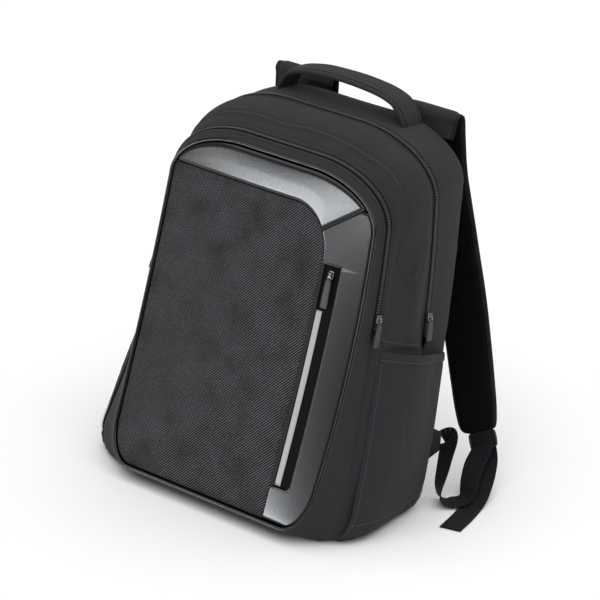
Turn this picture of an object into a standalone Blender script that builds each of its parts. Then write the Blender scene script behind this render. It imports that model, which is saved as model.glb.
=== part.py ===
"""Laptop backpack, standing on its flat base and leaning back, its straps hanging behind it.

Metres, +Z up. The front faces -Y, and +X is on the right of someone who looks at the front.
The origin is on the flat base, under the middle of the bag.

The bag is lofted: each row of SECTIONS is one outline of the bag, seen from the front, at one
depth. The outlines lean back together, and the cloth walls are shells between them.
"""

import math
from collections import namedtuple

import bmesh
import bpy
import numpy as np

# Driving dimensions of the bag
PANEL_HALF_WIDTH = 0.150
PANEL_HEIGHT = 0.359
PANEL_LIFT = 0.021
BAG_DEPTH = 0.172
FRONT_Y = -0.100
LEAN_SLOPE = 0.467
LEAN_EASE = 0.125
CORNER_TOP_WIDE = 0.098
CORNER_TOP_TALL = 0.054
CORNER_LOW_WIDE = 0.038
CORNER_LOW_TALL = 0.050
WAIST_SWELL = 0.0025

# Cloth, padding and clearances
CLOTH = 0.0020
DIVIDER = 0.0030
FLOOR_PADDING = 0.0030
BACK_PADDING = 0.0040
PANEL_THICK = 0.0022
PANEL_CROWN = 0.0070
GAP = 0.0003
SEAT_GAP = 0.0004

# Piping, zips and their hardware
PIPING_RADIUS = 0.0022
ZIP_TAPE_HALF = 0.0034
ZIP_TAPE_THICK = 0.0008
ZIP_COIL_HALF = 0.0016
ZIP_COIL_RISE = 0.0022
ZIP_LEDGE = 0.0044
FRONT_ZIP_END = 0.226
MAIN_ZIP_END = 0.194
SLIDER_LENGTH = 0.0110
SLIDER_WIDTH = 0.0080
SLIDER_BLOCK = 0.0028
CROWN_HEIGHT = 0.0030
CROWN_BAR = 0.0010
CROWN_WIDTH = 0.0020
PULL_ROD = 0.0012
PULL_WIDTH = 0.0074

# Small pocket in the smooth trim, upright, on the right of the front panel
SLOT_LEFT = 0.086
SLOT_RIGHT = 0.112
SLOT_LOW = 0.053
FLAP_WIDTH = 0.0085
POCKET_TAPE_THICK = 0.0012
STRIP_WIDTH = 0.0070
STRIP_THICK = 0.0006

# Trim seams on the front panel, from its top edge down, then what hangs below them
TRIM_DEPTH = 0.041
TRIM_CORNER = 0.048
MITRE_DROP = 0.021
MITRE_RISE = 0.013
TRIM_END = 0.0025
SLOT_MARGIN = 0.053
STRIP_MARGIN = 0.048
SLIDER_MARGIN = 0.010
TRIM_SEAM_HEIGHT = PANEL_LIFT + PANEL_HEIGHT - TRIM_DEPTH
TRIM_MITRE_LOW = TRIM_SEAM_HEIGHT - MITRE_DROP
TRIM_MITRE_HIGH = TRIM_SEAM_HEIGHT + MITRE_RISE
SLOT_HIGH = TRIM_SEAM_HEIGHT - SLOT_MARGIN
STRIP_HIGH = SLOT_HIGH - STRIP_MARGIN
POCKET_SLIDER_HEIGHT = SLOT_HIGH - SLIDER_MARGIN

# Side pockets
POCKET_WALL = 0.0016
POCKET_CLEAR = 0.0013
POCKET_FOOT_POINT = 3
POCKET_LEVELS = 5
POCKET_BACK_SHARE = 0.6
POCKET_TOP_FRONT = 0.196
POCKET_TOP_BACK = 0.162
POCKET_BULGE = 0.0135
POCKET_MOUTH = 0.0080

# Carry handle
HANDLE_HALF_SPAN = 0.090
HANDLE_RISE = 0.0275
HANDLE_WIDTH = 0.032
HANDLE_THICK = 0.0070
HANDLE_DEPTH = 0.2365

# Shoulder straps and webbing
STRAP_WIDTH = 0.072
STRAP_THICK = 0.010
STRAP_END_THICK = 0.0032
FLOOR_GAP = 0.0004
WEBBING_WIDTH = 0.025
WEBBING_THICK = 0.0015
BUCKLE_THICK = 0.0035
BUCKLE_BAR = 0.0036
BUCKLE_RAIL = 0.0030
TAB_THICK = 0.0020

# depth_low, depth_high: how far behind the panel, at the base and at the top, of BAG_DEPTH
# side: extra half width, of PANEL_HALF_WIDTH;  top: extra height, of PANEL_HEIGHT
# lift: how much of PANEL_LIFT is left under the section;  soft: how much it creases
# flare: how far the foot stands out, of PANEL_HALF_WIDTH;  low: size of the lower corners
Section = namedtuple("Section", "depth_low depth_high side top lift soft flare low")
SECTIONS = {
    "panel": Section(0.000, 0.000, 0.000, 0.000, 1.00, 0.0, 0.000, 1.00),
    "welt": Section(0.085, 0.030, 0.010, 0.010, 0.24, 0.0, 0.060, 0.90),
    "zip_front": Section(0.180, 0.066, 0.022, 0.020, 0.00, 0.0, 0.120, 0.70),
    "seam": Section(0.285, 0.175, 0.066, 0.058, 0.00, 0.6, 0.130, 0.55),
    "belly_front": Section(0.430, 0.270, 0.105, 0.078, 0.00, 1.0, 0.120, 0.48),
    "belly_back": Section(0.610, 0.360, 0.100, 0.084, 0.00, 1.0, 0.110, 0.46),
    "zip_main": Section(0.770, 0.435, 0.066, 0.081, 0.00, 0.0, 0.115, 0.46),
    "hip": Section(0.900, 0.600, 0.060, 0.082, 0.00, 1.0, 0.100, 0.50),
    "back_edge": Section(0.985, 0.740, 0.028, 0.072, 0.00, 0.3, 0.070, 0.60),
    "back": Section(1.000, 0.775, -0.030, 0.050, 0.30, 0.0, 0.040, 0.70),
}
FLARE_TOP = 0.55
FLARE_POWER = 1.35
FLARE_LEFT = 1.75

# Soft dents (negative) and swellings: place and reach as shares, push as a share of BAG_DEPTH
Crease = namedtuple("Crease", "side height depth tall deep push")
CREASES = (
    Crease("right", 0.70, 0.36, 0.13, 0.16, -0.026),
    Crease("right", 0.55, 0.52, 0.11, 0.15, 0.016),
    Crease("right", 0.86, 0.55, 0.10, 0.16, -0.018),
    Crease("left", 0.66, 0.45, 0.15, 0.18, -0.022),
    Crease("left", 0.48, 0.30, 0.12, 0.14, 0.014),
    Crease("both", 0.18, 0.30, 0.12, 0.12, 0.020),
)

# Outline points on each half: along the foot, low corner, side, top corner and top
FOOT_STEPS, LOW_STEPS, SIDE_STEPS, HIGH_STEPS, TOP_STEPS = 2, 4, 8, 7, 2

# Centre line of a shoulder strap, mirrored for the left one. out: of PANEL_HALF_WIDTH; back:
# behind the panel's plane, of BAG_DEPTH; height: of PANEL_HEIGHT; wide: of STRAP_WIDTH;
# thick: of STRAP_THICK; turn: of its face about Z, in degrees
StrapRow = namedtuple("StrapRow", "out back height wide thick turn")
STRAP_ROWS = (
    StrapRow(0.643, 0.786, 1.080, 0.92, 0.32, 0),
    StrapRow(0.643, 0.787, 1.120, 0.97, 0.33, 0),
    StrapRow(0.643, 0.784, 1.136, 1.00, 0.36, 0),
    StrapRow(0.645, 0.796, 1.150, 1.00, 0.42, 0),
    StrapRow(0.647, 0.825, 1.152, 1.00, 0.55, 0),
    StrapRow(0.650, 0.852, 1.134, 1.00, 0.77, 0),
    StrapRow(0.657, 0.882, 1.072, 0.99, 0.95, 0),
    StrapRow(0.673, 0.949, 0.961, 0.97, 1.00, 0),
    StrapRow(0.710, 1.053, 0.822, 0.96, 1.00, 1),
    StrapRow(0.767, 1.156, 0.682, 0.93, 1.00, 2),
    StrapRow(0.840, 1.249, 0.543, 0.89, 1.00, 4),
    StrapRow(0.927, 1.311, 0.418, 0.83, 1.00, 6),
    StrapRow(1.030, 1.347, 0.306, 0.76, 0.95, 9),
    StrapRow(1.127, 1.358, 0.223, 0.69, 0.82, 12),
    StrapRow(1.180, 1.370, 0.178, 0.58, 0.64, 14),
)

# Ends of the buckle's centre line as shares like a strap's, and its turn about Z in degrees
BUCKLE_LOW = (1.258, 1.395, 0.127)
BUCKLE_HIGH = (1.205, 1.383, 0.167)
BUCKLE_TURN = 12.0

# Corners of the tab that holds the webbing's fixed end, as shares like a strap's
TabRow = namedtuple("TabRow", "out back height")
TAB_ROWS = (
    TabRow(1.000, 0.967, 0.228),
    TabRow(0.993, 0.999, 0.089),
    TabRow(1.063, 1.140, 0.134),
    TabRow(1.063, 1.104, 0.192),
)

# Route of a strap's webbing, mirrored for the left one. It leaves the tab, lies in a loop on
# the floor and rises to the buckle, and its free end goes from the buckle down to the floor.
# height: of the webbing's lower side. The last columns turn its width about Z, in degrees,
# and tip it up
WebbingRow = namedtuple("WebbingRow", "out back height turn tip")
WEBBING_TO_BUCKLE = (
    WebbingRow(1.081, 1.146, 0.1584, 60, 2.0),
    WebbingRow(1.107, 1.151, 0.1695, 40, 1.2),
    WebbingRow(1.132, 1.137, 0.1570, 0, 0.4),
    WebbingRow(1.143, 1.128, 0.1221, -20, 0.0),
    WebbingRow(1.163, 1.113, 0.0887, -26, 0.0),
    WebbingRow(1.183, 1.097, 0.0567, -32, 0.0),
    WebbingRow(1.210, 1.094, 0.0302, -37, 0.0),
    WebbingRow(1.247, 1.105, 0.0135, -38, 0.0),
    WebbingRow(1.293, 1.133, 0.0079, -38, 0.0),
    WebbingRow(1.340, 1.176, 0.0091, -38, 0.0),
    WebbingRow(1.357, 1.207, 0.0157, -34, 0.0),
    WebbingRow(1.353, 1.228, 0.0274, -25, 0.0),
    WebbingRow(1.333, 1.246, 0.0414, -14, 0.0),
    WebbingRow(1.307, 1.271, 0.0609, -4, 0.0),
    WebbingRow(1.277, 1.311, 0.0887, 4, 0.0),
    WebbingRow(1.270, 1.348, 0.1166, 15, 0.2),
)
WEBBING_FREE_END = (
    WebbingRow(1.300, 1.411, 0.0873, 12, 0.0),
    WebbingRow(1.353, 1.362, 0.0595, 10, 0.0),
    WebbingRow(1.390, 1.314, 0.0316, 8, 0.0),
    WebbingRow(1.420, 1.259, 0.0107, 6, 0.0),
    WebbingRow(1.443, 1.192, 0.0018, 5, 0.0),
    WebbingRow(1.473, 1.112, 0.0001, 4, 0.0),
    WebbingRow(1.507, 1.013, 0.0001, 3, 0.0),
    WebbingRow(1.547, 0.874, 0.0001, 2, 0.0),
)


def lean(height):
    """How far the front has gone back at a height."""
    rise = (height - PANEL_LIFT) / PANEL_HEIGHT
    return PANEL_HEIGHT * (LEAN_SLOPE * rise - LEAN_EASE * np.maximum(rise, 0.0) ** 2)


def share_up(height):
    """Height as a share of the panel, 0 at its lower edge and 1 at its upper one."""
    return np.clip((height - PANEL_LIFT) / PANEL_HEIGHT, 0.0, 1.1)


def section_y(row, height):
    """World y of a section at a height: the lean, and the section's own depth."""
    up = share_up(height)
    depth = BAG_DEPTH * (row.depth_low * (1 - up) + row.depth_high * up)
    return FRONT_Y + lean(height) + depth


def crease_push(row, side, height):
    """Outward push of the soft dents at a section, for points on one side of the bag."""
    up = share_up(height)
    depth = row.depth_low
    push = np.zeros_like(up)
    for crease in CREASES:
        if crease.side not in (side, "both"):
            continue
        reach = ((up - crease.height) / crease.tall) ** 2 + ((depth - crease.depth) / crease.deep) ** 2
        push = push + crease.push * BAG_DEPTH * np.exp(-reach)
    return push * row.soft


def flare_out(row, height, side):
    """How far the side stands out at a height: most at the foot, more on the left."""
    up = share_up(height)
    more = FLARE_LEFT if side == "left" else 1.0
    return PANEL_HALF_WIDTH * row.flare * more * np.clip(1 - up / FLARE_TOP, 0, 1) ** FLARE_POWER


def half_outline(row, inset, side="right", padding=0.0):
    """One half of a section's outline, from the foot's middle to the top's middle: x, z.

    The padding raises the foot alone, for the inside of a padded floor.
    """
    half = PANEL_HALF_WIDTH * (1 + row.side) - inset
    foot = PANEL_LIFT * row.lift + inset + padding
    head = PANEL_LIFT + PANEL_HEIGHT * (1 + row.top) - inset
    grow = PANEL_HALF_WIDTH * row.side
    low_wide = CORNER_LOW_WIDE * row.low - inset
    low_tall = CORNER_LOW_TALL * row.low - inset
    top_wide, top_tall = CORNER_TOP_WIDE + grow - inset, CORNER_TOP_TALL + grow - inset
    low_out = half + float(flare_out(row, foot + low_tall, side))
    runs = []
    reach = np.linspace(0, low_out - low_wide, FOOT_STEPS + 1)[:-1]
    runs.append(np.column_stack([reach, np.full_like(reach, foot)]))
    turn = np.linspace(-math.pi / 2, 0, LOW_STEPS + 1)[:-1]
    runs.append(np.column_stack([low_out - low_wide + low_wide * np.cos(turn),
                                 foot + low_tall + low_tall * np.sin(turn)]))
    along = np.linspace(0, 1, SIDE_STEPS + 1)[:-1]
    rise = foot + low_tall + (head - top_tall - foot - low_tall) * along
    swell = WAIST_SWELL * 4 * along * (1 - along)
    runs.append(np.column_stack([half + swell + flare_out(row, rise, side), rise]))
    turn = np.linspace(0, math.pi / 2, HIGH_STEPS + 1)[:-1]
    runs.append(np.column_stack([half - top_wide + top_wide * np.cos(turn),
                                 head - top_tall + top_tall * np.sin(turn)]))
    reach = np.linspace(half - top_wide, 0, TOP_STEPS + 1)
    runs.append(np.column_stack([reach, np.full_like(reach, head)]))
    return np.concatenate(runs)


def outline(row, inset=0.0, padding=0.0):
    """Whole outline of a section, round from the foot's middle by the right side: x, z."""
    halves = []
    for side in ("right", "left"):
        half = half_outline(row, inset, side, padding)
        half[:, 0] += crease_push(row, side, half[:, 1]) * smooth_side(half)
        halves.append(half)
    right, left = halves
    left[:, 0] *= -1
    return np.concatenate([right, left[-2:0:-1]])


def smooth_side(points):
    """Share of a dent's push that each outline point takes: all on the side, none on top."""
    out = points[:, 0] / points[:, 0].max()
    return np.clip((out - 0.55) / 0.40, 0, 1)


def ring(row, inset=0.0, back=0.0, padding=0.0):
    """A section's outline as points in the world, moved back by a distance."""
    flat = outline(row, inset, padding)
    y = section_y(row, flat[:, 1]) + back
    return np.column_stack([flat[:, 0], y, flat[:, 1]])


def between(first, second, share):
    """A section part of the way from one row to the next."""
    return Section(*[a + (b - a) * share for a, b in zip(first, second)])


def new_object(name, verts, faces, smooth=True):
    """Mesh object with outward faces and its own material."""
    mesh = bpy.data.meshes.new(name)
    mesh.from_pydata([tuple(map(float, v)) for v in verts], [], faces)
    work = bmesh.new()
    work.from_mesh(mesh)
    bmesh.ops.recalc_face_normals(work, faces=work.faces[:])
    work.to_mesh(mesh)
    work.free()
    if smooth:
        mesh.shade_smooth()
        mesh.set_sharp_from_angle(angle=math.radians(40))
    made = bpy.data.objects.new(name, mesh)
    bpy.context.scene.collection.objects.link(made)
    return made


def ring_solid(name, rings, start_pole=None, end_pole=None):
    """Solid skinned over rings of as many points each.

    With poles, the first and last rings close in fans to them; without, the last ring joins
    the first, which makes a tube's wall.
    """
    count = len(rings[0])
    verts = [p for one in rings for p in one]
    faces = []
    last = len(rings) - 1
    pairs = [(i, i + 1) for i in range(last)]
    if start_pole is None:
        pairs.append((last, 0))
    for a, b in pairs:
        for j in range(count):
            k = (j + 1) % count
            faces.append((a * count + j, a * count + k, b * count + k, b * count + j))
    if start_pole is not None:
        for pole, at in ((start_pole, 0), (end_pole, last)):
            verts.append(pole)
            tip = len(verts) - 1
            faces += [(at * count + j, at * count + (j + 1) % count, tip) for j in range(count)]
    return new_object(name, verts, faces)


def rod_solid(name, rings, smooth=True):
    """Solid skinned over rings, with a flat face at each end."""
    count = len(rings[0])
    verts = [p for one in rings for p in one]
    faces = []
    for i in range(len(rings) - 1):
        for j in range(count):
            k = (j + 1) % count
            faces.append((i * count + j, i * count + k, (i + 1) * count + k, (i + 1) * count + j))
    faces.append(tuple(range(count)))
    faces.append(tuple((len(rings) - 1) * count + j for j in reversed(range(count))))
    return new_object(name, verts, faces, smooth)


def sheet_solid(name, outer, inner):
    """Solid sheet between a grid of outer points and the same grid of inner ones."""
    rows, cols = outer.shape[:2]
    verts = list(outer.reshape(-1, 3)) + list(inner.reshape(-1, 3))
    size = rows * cols
    faces = []
    for i in range(rows - 1):
        for j in range(cols - 1):
            a, b, c, d = i * cols + j, i * cols + j + 1, (i + 1) * cols + j + 1, (i + 1) * cols + j
            faces += [(a, b, c, d), (size + d, size + c, size + b, size + a)]
    border = [(0, j) for j in range(cols)] + [(i, cols - 1) for i in range(1, rows)]
    border += [(rows - 1, j) for j in range(cols - 2, -1, -1)] + [(i, 0) for i in range(rows - 2, 0, -1)]
    ids = [i * cols + j for i, j in border]
    for n, a in enumerate(ids):
        b = ids[(n + 1) % len(ids)]
        faces.append((b, a, size + a, size + b))
    return new_object(name, verts, faces)


def band_solid(name, rings):
    """Solid flat band over rings of four points: two below, then two above.

    Both of its faces are split along the same diagonal, so a twisted stretch stays as thick.
    """
    verts = [p for one in rings for p in one]
    faces = []
    for i in range(len(rings) - 1):
        for j in range(4):
            a, b = 4 * i + j, 4 * i + (j + 1) % 4
            c, d = b + 4, a + 4
            faces += [(a, b, c), (a, c, d)] if j < 2 else [(a, b, d), (b, c, d)]
    last = 4 * (len(rings) - 1)
    faces += [(0, 3, 2, 1), (last, last + 1, last + 2, last + 3)]
    return new_object(name, verts, faces, smooth=False)


def paint(thing, colour, roughness, metallic=0.0):
    """Give an object its own material."""
    material = bpy.data.materials.new(thing.name)
    material.use_nodes = True
    shader = material.node_tree.nodes["Principled BSDF"]
    shader.inputs["Base Color"].default_value = (*colour, 1.0)
    shader.inputs["Roughness"].default_value = roughness
    shader.inputs["Metallic"].default_value = metallic
    thing.data.materials.clear()
    thing.data.materials.append(material)
    return thing


FABRIC = ((0.032, 0.032, 0.034), 0.85)
WOVEN = ((0.042, 0.042, 0.044), 0.80)
LEATHER = ((0.028, 0.028, 0.030), 0.42)
TAPE = ((0.010, 0.010, 0.011), 0.75)
MESH = ((0.006, 0.006, 0.008), 0.90)
REFLECTIVE = ((0.68, 0.68, 0.66), 0.35)
PLASTIC = ((0.012, 0.012, 0.013), 0.45)
METAL = ((0.10, 0.10, 0.11), 0.30, 1.0)
PULL = ((0.060, 0.060, 0.060), 0.55, 0.6)


def zip_half():
    """Half of the slit that a closed zip covers."""
    return GAP / 2


def front_gusset():
    """Narrow cloth gusset round the front pocket, open in front and behind."""
    panel, welt, zip_front = (SECTIONS[k] for k in ("panel", "welt", "zip_front"))
    behind_piping = PIPING_RADIUS + GAP
    stations = [(panel, behind_piping), (welt, behind_piping), (zip_front, -ZIP_LEDGE),
                (zip_front, -zip_half())]
    rings = [ring(row, 0.0, back) for row, back in stations]
    rings += [ring(row, CLOTH, back) for row, back in reversed(stations)]
    return paint(ring_solid("front_gusset", rings), *FABRIC)


def face_rings(row, back, inset, shares, bow, padding=0.0):
    """Rings inside a section that close it as a face, bowed back in the middle."""
    edge = ring(row, inset, back, padding)
    middle = face_middle(row, back)
    rings = []
    for share in shares:
        ring_now = middle + (edge - middle) * share
        flat = section_y(row, ring_now[:, 2]) + back
        ring_now[:, 1] = flat + bow * (1 - share ** 2)
        rings.append(ring_now)
    return rings


def face_middle(row, back):
    """Middle point of a section's face."""
    height = PANEL_LIFT + PANEL_HEIGHT * 0.5
    return np.array([0.0, float(section_y(row, np.array(height))) + back, height])


def bowl(name, stations, wall, face_wall, face_bow, shares):
    """Cloth bowl: open at its first station, closed by a face at its last one.

    The wall's inside follows the same stations, one wall further in and over a padded floor,
    and the face's inside lies one face wall nearer to the opening.
    """
    toward = 1.0 if stations[-1][2] else -1.0
    outer = [ring(row, 0.0, back) for row, back, _ in stations]
    end_row, end_back, _ = stations[-1]
    outer += face_rings(end_row, end_back, 0.0, shares, face_bow)
    pole_out = face_middle(end_row, end_back) + np.array([0, face_bow, 0])
    inner_end = end_back - toward * face_wall
    inner = [ring(row, wall, back, FLOOR_PADDING) for row, back, _ in stations[:-1]]
    closing = face_rings(end_row, inner_end, wall + face_wall * 0.3, (1.0,) + shares, face_bow,
                         FLOOR_PADDING)
    pole_in = face_middle(end_row, inner_end) + np.array([0, face_bow, 0])
    rings = list(reversed(outer)) + inner + closing
    return ring_solid(name, rings, pole_out, pole_in)


def middle_shell():
    """Middle of the bag: the divider behind the front pocket, and the wide gusset."""
    rows = SECTIONS
    stations = [(rows["zip_main"], -zip_half(), False), (rows["zip_main"], -ZIP_LEDGE, False),
                (rows["belly_back"], 0.0, False), (rows["belly_front"], 0.0, False),
                (rows["seam"], 0.0, False), (rows["zip_front"], ZIP_LEDGE, False),
                (rows["zip_front"], zip_half(), False)]
    made = bowl("middle_shell", stations, CLOTH, DIVIDER, -0.002, (0.62, 0.25))
    return paint(made, *FABRIC)


def rear_shell():
    """Rear of the bag: the gusset behind the main zip and the padded back panel."""
    rows = SECTIONS
    stations = [(rows["zip_main"], zip_half(), True), (rows["zip_main"], ZIP_LEDGE, True),
                (rows["hip"], 0.0, True), (rows["back_edge"], 0.0, True), (rows["back"], 0.0, True)]
    made = bowl("rear_shell", stations, CLOTH, BACK_PADDING, 0.004, (0.80, 0.45))
    return paint(made, *FABRIC)


def piping():
    """Round cord piping along the edge of the front panel."""
    path = ring(SECTIONS["panel"])
    centre = face_middle(SECTIONS["panel"], 0.0)
    outward = path - centre
    outward[:, 1] = 0
    outward /= np.linalg.norm(outward, axis=1, keepdims=True)
    sides = 6
    rings = []
    for k in range(sides):
        turn = 2 * math.pi * (k + 0.5) / sides
        around = path + outward * ((math.cos(turn) - 1) * PIPING_RADIUS)
        around[:, 1] = section_y(SECTIONS["panel"], around[:, 2]) + math.sin(turn) * PIPING_RADIUS
        rings.append(around)
    return paint(ring_solid("panel_piping", rings), *LEATHER)


def panel_inset():
    """Distance from the panel's outline to the edge of what the piping frames."""
    return 2 * PIPING_RADIUS + 2 * GAP


def panel_point(x, z, proud=0.0):
    """Point on the crowned front panel, stood proud of it by a distance."""
    half = PANEL_HALF_WIDTH
    up = (z - PANEL_LIFT) / PANEL_HEIGHT
    crown = PANEL_CROWN * (1 - (x / half) ** 2) * np.clip(4 * up * (1 - up), 0, 1) ** 0.7
    y = FRONT_Y + lean(z) - crown
    slope = LEAN_SLOPE - 2 * LEAN_EASE * up
    fall = 1 / np.sqrt(1 + slope ** 2)
    return np.stack([x, y - proud * fall, z + proud * fall * slope], axis=-1)


def panel_edge_x(z):
    """Half width of the framed panel at a height."""
    line = half_outline(SECTIONS["panel"], panel_inset())
    start, stop = FOOT_STEPS, FOOT_STEPS + LOW_STEPS + SIDE_STEPS + HIGH_STEPS
    return np.interp(z, line[start:stop + 1, 1], line[start:stop + 1, 0])


def panel_edge_z(x):
    """Height of the framed panel's upper edge at a distance from the middle."""
    line = half_outline(SECTIONS["panel"], panel_inset())
    start = FOOT_STEPS + LOW_STEPS + SIDE_STEPS
    part = line[start:][::-1]
    return np.interp(np.abs(x), part[:, 0], part[:, 1])


def ruled_plate(name, heights, left, right, cols, thick=PANEL_THICK, proud=0.0):
    """Plate on the front panel between a left and a right edge, given at each height."""
    share = np.linspace(0, 1, cols)[None, :]
    x = left[:, None] * (1 - share) + right[:, None] * share
    z = np.repeat(heights[:, None], cols, axis=1)
    return sheet_solid(name, panel_point(x, z, proud), panel_point(x, z, proud - thick))


def woven_edge_x(z):
    """Right edge of the woven panel: along the small pocket, then round the trim's corner."""
    over = np.clip((z - (TRIM_SEAM_HEIGHT - TRIM_CORNER)) / TRIM_CORNER, 0, 1)
    return SLOT_LEFT - TRIM_CORNER * (1 - np.sqrt(1 - over ** 2))


def woven_panel():
    """Ribbed woven face of the front pocket."""
    low = PANEL_LIFT + panel_inset()
    heights = np.concatenate([
        low + (CORNER_LOW_TALL - panel_inset()) * (1 - np.cos(np.linspace(0, math.pi / 2, 5)))[:-1],
        np.linspace(PANEL_LIFT + CORNER_LOW_TALL, TRIM_SEAM_HEIGHT - TRIM_CORNER, 7)[:-1],
        TRIM_SEAM_HEIGHT - TRIM_CORNER
        + (TRIM_CORNER - GAP) * np.sin(np.linspace(0, math.pi / 2, 6)),
    ])
    left = -panel_edge_x(heights)
    right = woven_edge_x(heights) - GAP / 2
    made = ruled_plate("woven_panel", heights, left, right, 9)
    return paint(made, *WOVEN)


def mitre_height(x):
    """Height of the slanting seam between the two smooth trims."""
    corner = woven_edge_x(np.array(TRIM_MITRE_LOW))
    end = panel_edge_x(np.array(TRIM_MITRE_HIGH))
    return TRIM_MITRE_LOW + (TRIM_MITRE_HIGH - TRIM_MITRE_LOW) * (x - corner) / (end - corner)


def trim_top():
    """Smooth trim across the top of the front panel."""
    corner = float(woven_edge_x(np.array(TRIM_MITRE_LOW)))
    end = float(panel_edge_x(np.array(TRIM_MITRE_HIGH)))
    start = -float(panel_edge_x(np.array(TRIM_SEAM_HEIGHT + TRIM_END)))
    x = np.concatenate([
        np.linspace(start, -0.6 * PANEL_HALF_WIDTH, 5)[:-1],
        np.linspace(-0.6 * PANEL_HALF_WIDTH, SLOT_LEFT - TRIM_CORNER, 5)[:-1],
        np.linspace(SLOT_LEFT - TRIM_CORNER, corner, 5)[:-1],
        np.linspace(corner, end - 0.001, 5),
    ])
    round_share = np.clip((x - (SLOT_LEFT - TRIM_CORNER)) / TRIM_CORNER, 0, 1)
    low = TRIM_SEAM_HEIGHT - TRIM_CORNER + TRIM_CORNER * np.sqrt(1 - round_share ** 2) + GAP
    low = np.where(x >= corner, mitre_height(x) + GAP, low)
    high = panel_edge_z(x)
    share = np.linspace(0, 1, 4)[:, None]
    z = low[None, :] * (1 - share) + high[None, :] * share
    x = np.repeat(x[None, :], 4, axis=0)
    made = sheet_solid("trim_top", panel_point(x, z), panel_point(x, z, -PANEL_THICK))
    return paint(made, *LEATHER)


def trim_side():
    """Smooth trim down the right of the front panel, beside the small pocket."""
    low = PANEL_LIFT + panel_inset()
    heights = np.concatenate([
        low + (SLOT_LOW - GAP - low) * np.array([0.0, 0.12, 0.4, 0.7]),
        np.array([SLOT_LOW - GAP, SLOT_LOW]),
        np.linspace(SLOT_LOW, SLOT_HIGH, 6)[1:],
        np.array([SLOT_HIGH + GAP]),
        np.linspace(SLOT_HIGH, TRIM_MITRE_LOW, 4)[1:],
        np.linspace(TRIM_MITRE_LOW, TRIM_MITRE_HIGH - TRIM_END, 5)[1:],
    ])
    left = woven_edge_x(np.minimum(heights, TRIM_MITRE_LOW)) + GAP / 2
    beside_slot = (heights >= SLOT_LOW) & (heights <= SLOT_HIGH)
    left = np.where(beside_slot, SLOT_RIGHT, left)
    corner = float(woven_edge_x(np.array(TRIM_MITRE_LOW)))
    end = float(panel_edge_x(np.array(TRIM_MITRE_HIGH)))
    climb = (heights - TRIM_MITRE_LOW) / (TRIM_MITRE_HIGH - TRIM_MITRE_LOW)
    left = np.where(heights > TRIM_MITRE_LOW, corner + (end - corner) * climb, left)
    right = panel_edge_x(heights)
    return paint(ruled_plate("trim_side", heights, left, right, 4), *LEATHER)


def small_pocket():
    """Flap, zip tape and reflective strip in the slot of the smooth trim."""
    heights = np.linspace(SLOT_LOW + GAP, SLOT_HIGH - GAP, 8)
    ones = np.ones_like(heights)
    flap_left = SLOT_LEFT + GAP
    flap_right = flap_left + FLAP_WIDTH
    made = [paint(ruled_plate("pocket_flap", heights, flap_left * ones, flap_right * ones, 3,
                              PANEL_THICK, 0.0006), *FABRIC)]
    tape_left = flap_right + GAP
    made.append(paint(ruled_plate("zip_pocket", heights, tape_left * ones,
                                  (SLOT_RIGHT - GAP) * ones, 4, POCKET_TAPE_THICK, -0.0010), *TAPE))
    strip = np.linspace(SLOT_LOW + 0.002, STRIP_HIGH, 7)
    strip_left = tape_left + 0.002
    ones = np.ones_like(strip)
    made.append(paint(ruled_plate("reflective_strip", strip, strip_left * ones,
                                  (strip_left + STRIP_WIDTH) * ones, 3, STRIP_THICK,
                                  -0.0010 + GAP + STRIP_THICK), *REFLECTIVE))
    return made


def outward_2d(flat):
    """Outward unit normals of an outline, in x and z."""
    tangent = np.roll(flat, -1, axis=0) - np.roll(flat, 1, axis=0)
    normal = np.column_stack([tangent[:, 1], -tangent[:, 0]])
    return normal / np.linalg.norm(normal, axis=1, keepdims=True)


def zip_section():
    """Cross-section of a closed coil zip: out of the cloth, and along the bag's depth."""
    low, tape = GAP, GAP + ZIP_TAPE_THICK
    top = tape + ZIP_COIL_RISE - ZIP_TAPE_THICK
    return [(low, -ZIP_TAPE_HALF), (tape, -ZIP_TAPE_HALF), (tape, -ZIP_COIL_HALF),
            (top, -ZIP_COIL_HALF * 0.6), (top, ZIP_COIL_HALF * 0.6), (tape, ZIP_COIL_HALF),
            (tape, ZIP_TAPE_HALF), (low, ZIP_TAPE_HALF)]


def zip_band(name, row, end_height):
    """Closed zip over a slit, from one side of the bag over the top to the other."""
    path = ring(row)
    normals = outward_2d(outline(row))
    count = len(path)
    half = (count + 2) // 2
    first = next(i for i in range(count) if path[i, 2] > end_height and path[i, 0] > 0)
    last = count - first
    keep = list(range(first, last + 1))
    points, outs = path[keep], normals[keep]
    for at, inside, outer_index in ((0, first, first - 1), (-1, last, last + 1)):
        a, b = path[outer_index], path[inside]
        share = (end_height - a[2]) / (b[2] - a[2])
        end = a + (b - a) * share
        end_out = normals[outer_index] + (normals[inside] - normals[outer_index]) * share
        if at == 0:
            points, outs = np.vstack([end, points]), np.vstack([end_out, outs])
        else:
            points, outs = np.vstack([points, end]), np.vstack([outs, end_out])
    rings = []
    for p, n in zip(points, outs):
        out = np.array([n[0], 0.0, n[1]]) / np.linalg.norm(n)
        rings.append([p + out * u + np.array([0.0, v, 0.0]) for u, v in zip_section()])
    return paint(rod_solid(name, rings), *TAPE)


def side_seat(row, height, side):
    """Frame on the outside of a section's side: point, out, along (down) and across."""
    line = side_line(ring(row), side)

    def at(z):
        x, y = (np.interp(z, line[:, 2], line[:, k]) for k in (0, 1))
        return np.array([x * side, y, z])

    along = at(height - 0.004) - at(height + 0.004)
    along /= np.linalg.norm(along)
    out = np.array([float(side), 0.0, 0.0])
    out = out - along * np.dot(out, along)
    out /= np.linalg.norm(out)
    return at(height), out, along, np.cross(out, along)


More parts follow.
